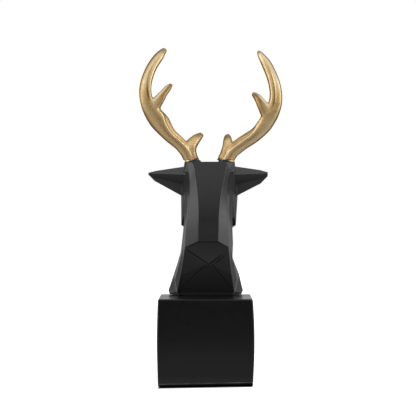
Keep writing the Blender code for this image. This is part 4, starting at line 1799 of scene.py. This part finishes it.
@dataclass
class Studio:
    """Pale floor, soft surrounding light, two softboxes and the camera.

    Attributes:
        camera_place: Where the camera stands.
        camera_tip: How far it looks down, in degrees.
        lens: Focal length in millimetres.
        sensor: Width of the sensor in millimetres.
        clip: Nearest and farthest that the camera sees.
        floor_half: Half the floor's width.
        floor_cells: Faces along a side of the floor.
        floor_seen: Glow of the floor as the camera sees it.
        floor_shade: Its paleness there.
        floor_glow: How its glow falls with the distance behind the deer, as the object mirrors it.
        floor_mirrored: Its paleness there.
        contact_reach: How far behind the block's middle the painted contact shadow below its back ends.
        contact_soft: Half the width of that shadow's soft end.
        contact_slant: How much further it reaches on the deer's left, per metre.
        contact_side: Distances from the middle at which it ends below the block's sides.
        contact_front: Distances behind the middle at which it ends below the front.
        by_azimuth: Light from all round: half turns from behind the camera, and the level there.
        overhead: Level of the light from above.
        overhead_from: Heights of the look upwards between which that light comes in.
        aim: The point that the softboxes face.
        softboxes: The softboxes.
    """

    camera_place: Point = (-2.1 * MM, 1344 * MM, 146 * MM)
    camera_tip: float = 0.14
    lens: float = 141.66
    sensor: float = 36.0
    clip: Pair = (0.05, 30.0)
    floor_half: float = 3.0
    floor_cells: int = 8
    floor_seen: float = 0.75
    floor_shade: float = 0.86
    floor_glow: Ramp = (0.06, 0.9, 0.28, 0.12)
    floor_mirrored: float = 0.16
    contact_reach: float = 45.0 * MM
    contact_soft: float = 6.0 * MM
    contact_slant: float = 0.16
    contact_side: Pair = (36.5 * MM, 39 * MM)
    contact_front: Pair = (-37 * MM, -40 * MM)
    by_azimuth: tuple[Pair, ...] = (
        (0.0, 0.09), (0.25, 0.15), (0.42, 0.13), (0.62, 0.12), (0.74, 0.13), (0.84, 0.22), (0.93, 0.5),
        (1.0, 0.55),
    )
    overhead: float = 0.83
    overhead_from: Pair = (-0.02, 0.8)
    aim: Point = (0.0, 0.0, 0.15)
    softboxes: tuple[Softbox, ...] = (
        Softbox("softbox_left", (0.95, 0.05, 0.45), 0.6, 1.1, 5.0),
        Softbox("softbox_right", (-0.95, 0.05, 0.45), 0.6, 1.1, 6.1),
    )

    def build(self) -> None:
        """Builds floor, world, lamps and camera."""
        self.build_floor()
        self.build_world()
        for softbox in self.softboxes:
            softbox.build(self.aim)
        self.build_camera()

    def floor_material(self) -> bpy.types.Material:
        """The floor's finish: white to the camera save for a painted contact shadow below the block, and grey
        where it is mirrored in the object.

        Returns:
            The finished material.
        """
        material = bpy.data.materials.new("pale_floor")
        material.use_nodes = True
        tree = Tree(material.node_tree)
        material.node_tree.nodes.remove(material.node_tree.nodes["Principled BSDF"])
        spot = tree.add("ShaderNodeTexCoord").outputs["Object"]
        across, ahead, _ = tree.add("ShaderNodeSeparateXYZ", {0: spot}).outputs
        # Painted contact shadow: the floor is darkened under the block and in a strip along its back, a
        # little wider on the deer's left.
        slant = tree.math("MULTIPLY_ADD", across, -self.contact_slant, ahead)
        ends = (self.contact_reach - self.contact_soft, self.contact_reach + self.contact_soft)
        beside = tree.span(tree.math("ABSOLUTE", across), *self.contact_side)
        front = tree.span(ahead, *self.contact_front)
        open_floor = tree.math("MAXIMUM", tree.span(slant, *ends), tree.math("MAXIMUM", beside, front))
        pale = tree.blend(open_floor, grey(0.0), grey(self.floor_shade))
        shade = tree.add("ShaderNodeBsdfDiffuse", {"Color": pale})
        strength = tree.math("MULTIPLY", open_floor, self.floor_seen)
        seen = tree.add("ShaderNodeEmission", {"Strength": strength})
        dull = tree.add("ShaderNodeBsdfDiffuse", {"Color": grey(self.floor_mirrored)})
        glow = tree.add("ShaderNodeEmission", {"Strength": tree.span(ahead, *self.floor_glow)})
        to_camera = tree.add("ShaderNodeAddShader", {0: shade.outputs[0], 1: seen.outputs[0]}).outputs[0]
        mirrored = tree.add("ShaderNodeAddShader", {0: dull.outputs[0], 1: glow.outputs[0]}).outputs[0]
        ray = tree.add("ShaderNodeLightPath").outputs["Is Camera Ray"]
        both = tree.add("ShaderNodeMixShader", {0: ray, 1: mirrored, 2: to_camera}).outputs[0]
        tree.feed(material.node_tree.nodes["Material Output"].inputs["Surface"], both)
        return material

    def build_floor(self) -> None:
        """A plain square floor at height 0."""
        count = self.floor_cells
        steps = np.linspace(-self.floor_half, self.floor_half, count + 1)
        x, y = np.meshgrid(steps, steps, indexing="ij")
        points = np.stack([x, y, np.zeros_like(x)], axis=-1).reshape(-1, 3)
        row, column = np.meshgrid(np.arange(count), np.arange(count), indexing="ij")
        first = row * (count + 1) + column
        corners = (first, first + count + 1, first + count + 2, first + 1)
        mesh = make_mesh("floor", points, np.stack(corners, axis=-1).reshape(-1, 4).tolist())
        mesh.materials.append(self.floor_material())
        floor = bpy.data.objects.new("floor", mesh)
        bpy.context.scene.collection.objects.link(floor)

    def build_world(self) -> None:
        """Light from all round: dim behind the camera, white behind the object, paler overhead."""
        world = bpy.data.worlds.new("studio")
        bpy.context.scene.world = world
        world.use_nodes = True
        tree = Tree(world.node_tree)
        way = tree.add("ShaderNodeTexCoord").outputs["Generated"]
        x, y, z = tree.add("ShaderNodeSeparateXYZ", {0: way}).outputs
        turn = tree.math("ABSOLUTE", tree.math("ARCTAN2", x, y))
        ramp = tree.add("ShaderNodeValToRGB", {"Fac": tree.math("DIVIDE", turn, math.pi)})
        ramp.color_ramp.interpolation = "EASE"
        stops = ramp.color_ramp.elements
        while len(stops) < len(self.by_azimuth):
            stops.new(0.5)
        for stop, (place, level) in zip(stops, self.by_azimuth):
            stop.position = place
            stop.color = grey(level)
        high = tree.span(z, *self.overhead_from, smooth=False)
        light = tree.blend(high, ramp.outputs["Color"], grey(self.overhead))
        ray = tree.add("ShaderNodeLightPath").outputs["Is Camera Ray"]
        light = tree.blend(ray, light, grey(1.0))
        tree.feed(world.node_tree.nodes["Background"].inputs["Color"], light)

    def build_camera(self) -> None:
        """The camera at the photograph's place, looking along -Y, and plain colours as they are."""
        camera = bpy.data.cameras.new("camera")
        camera.sensor_width = self.sensor
        camera.lens = self.lens
        camera.clip_start, camera.clip_end = self.clip
        holder = bpy.data.objects.new("camera", camera)
        bpy.context.scene.collection.objects.link(holder)
        holder.location = self.camera_place
        holder.rotation_euler = (math.radians(90 - self.camera_tip), 0, math.pi)
        bpy.context.scene.camera = holder
        bpy.context.scene.view_settings.view_transform = "Standard"


def main() -> None:
    """Builds the studio and the four pieces."""
    logging.basicConfig(level=logging.INFO, format="%(name)s: %(message)s")
    Studio().build()
    effects = Effects()
    gold = GoldPaint().build(effects)
    antlers = [antler(side, gold) for side in Side]
    feet = [piece.foot() for piece in antlers]
    crown = tuple(((feet[0] + feet[1]) / 2).tolist())
    apart = float(np.linalg.norm(feet[0] - feet[1]))
    Block(BlockPaint().build(effects)).build()
    Bust(BustPaint().build(effects, crown, apart), BACK_GROOVES).build()
    for piece in antlers:
        piece.build()


if __name__ == "__main__":
    main()
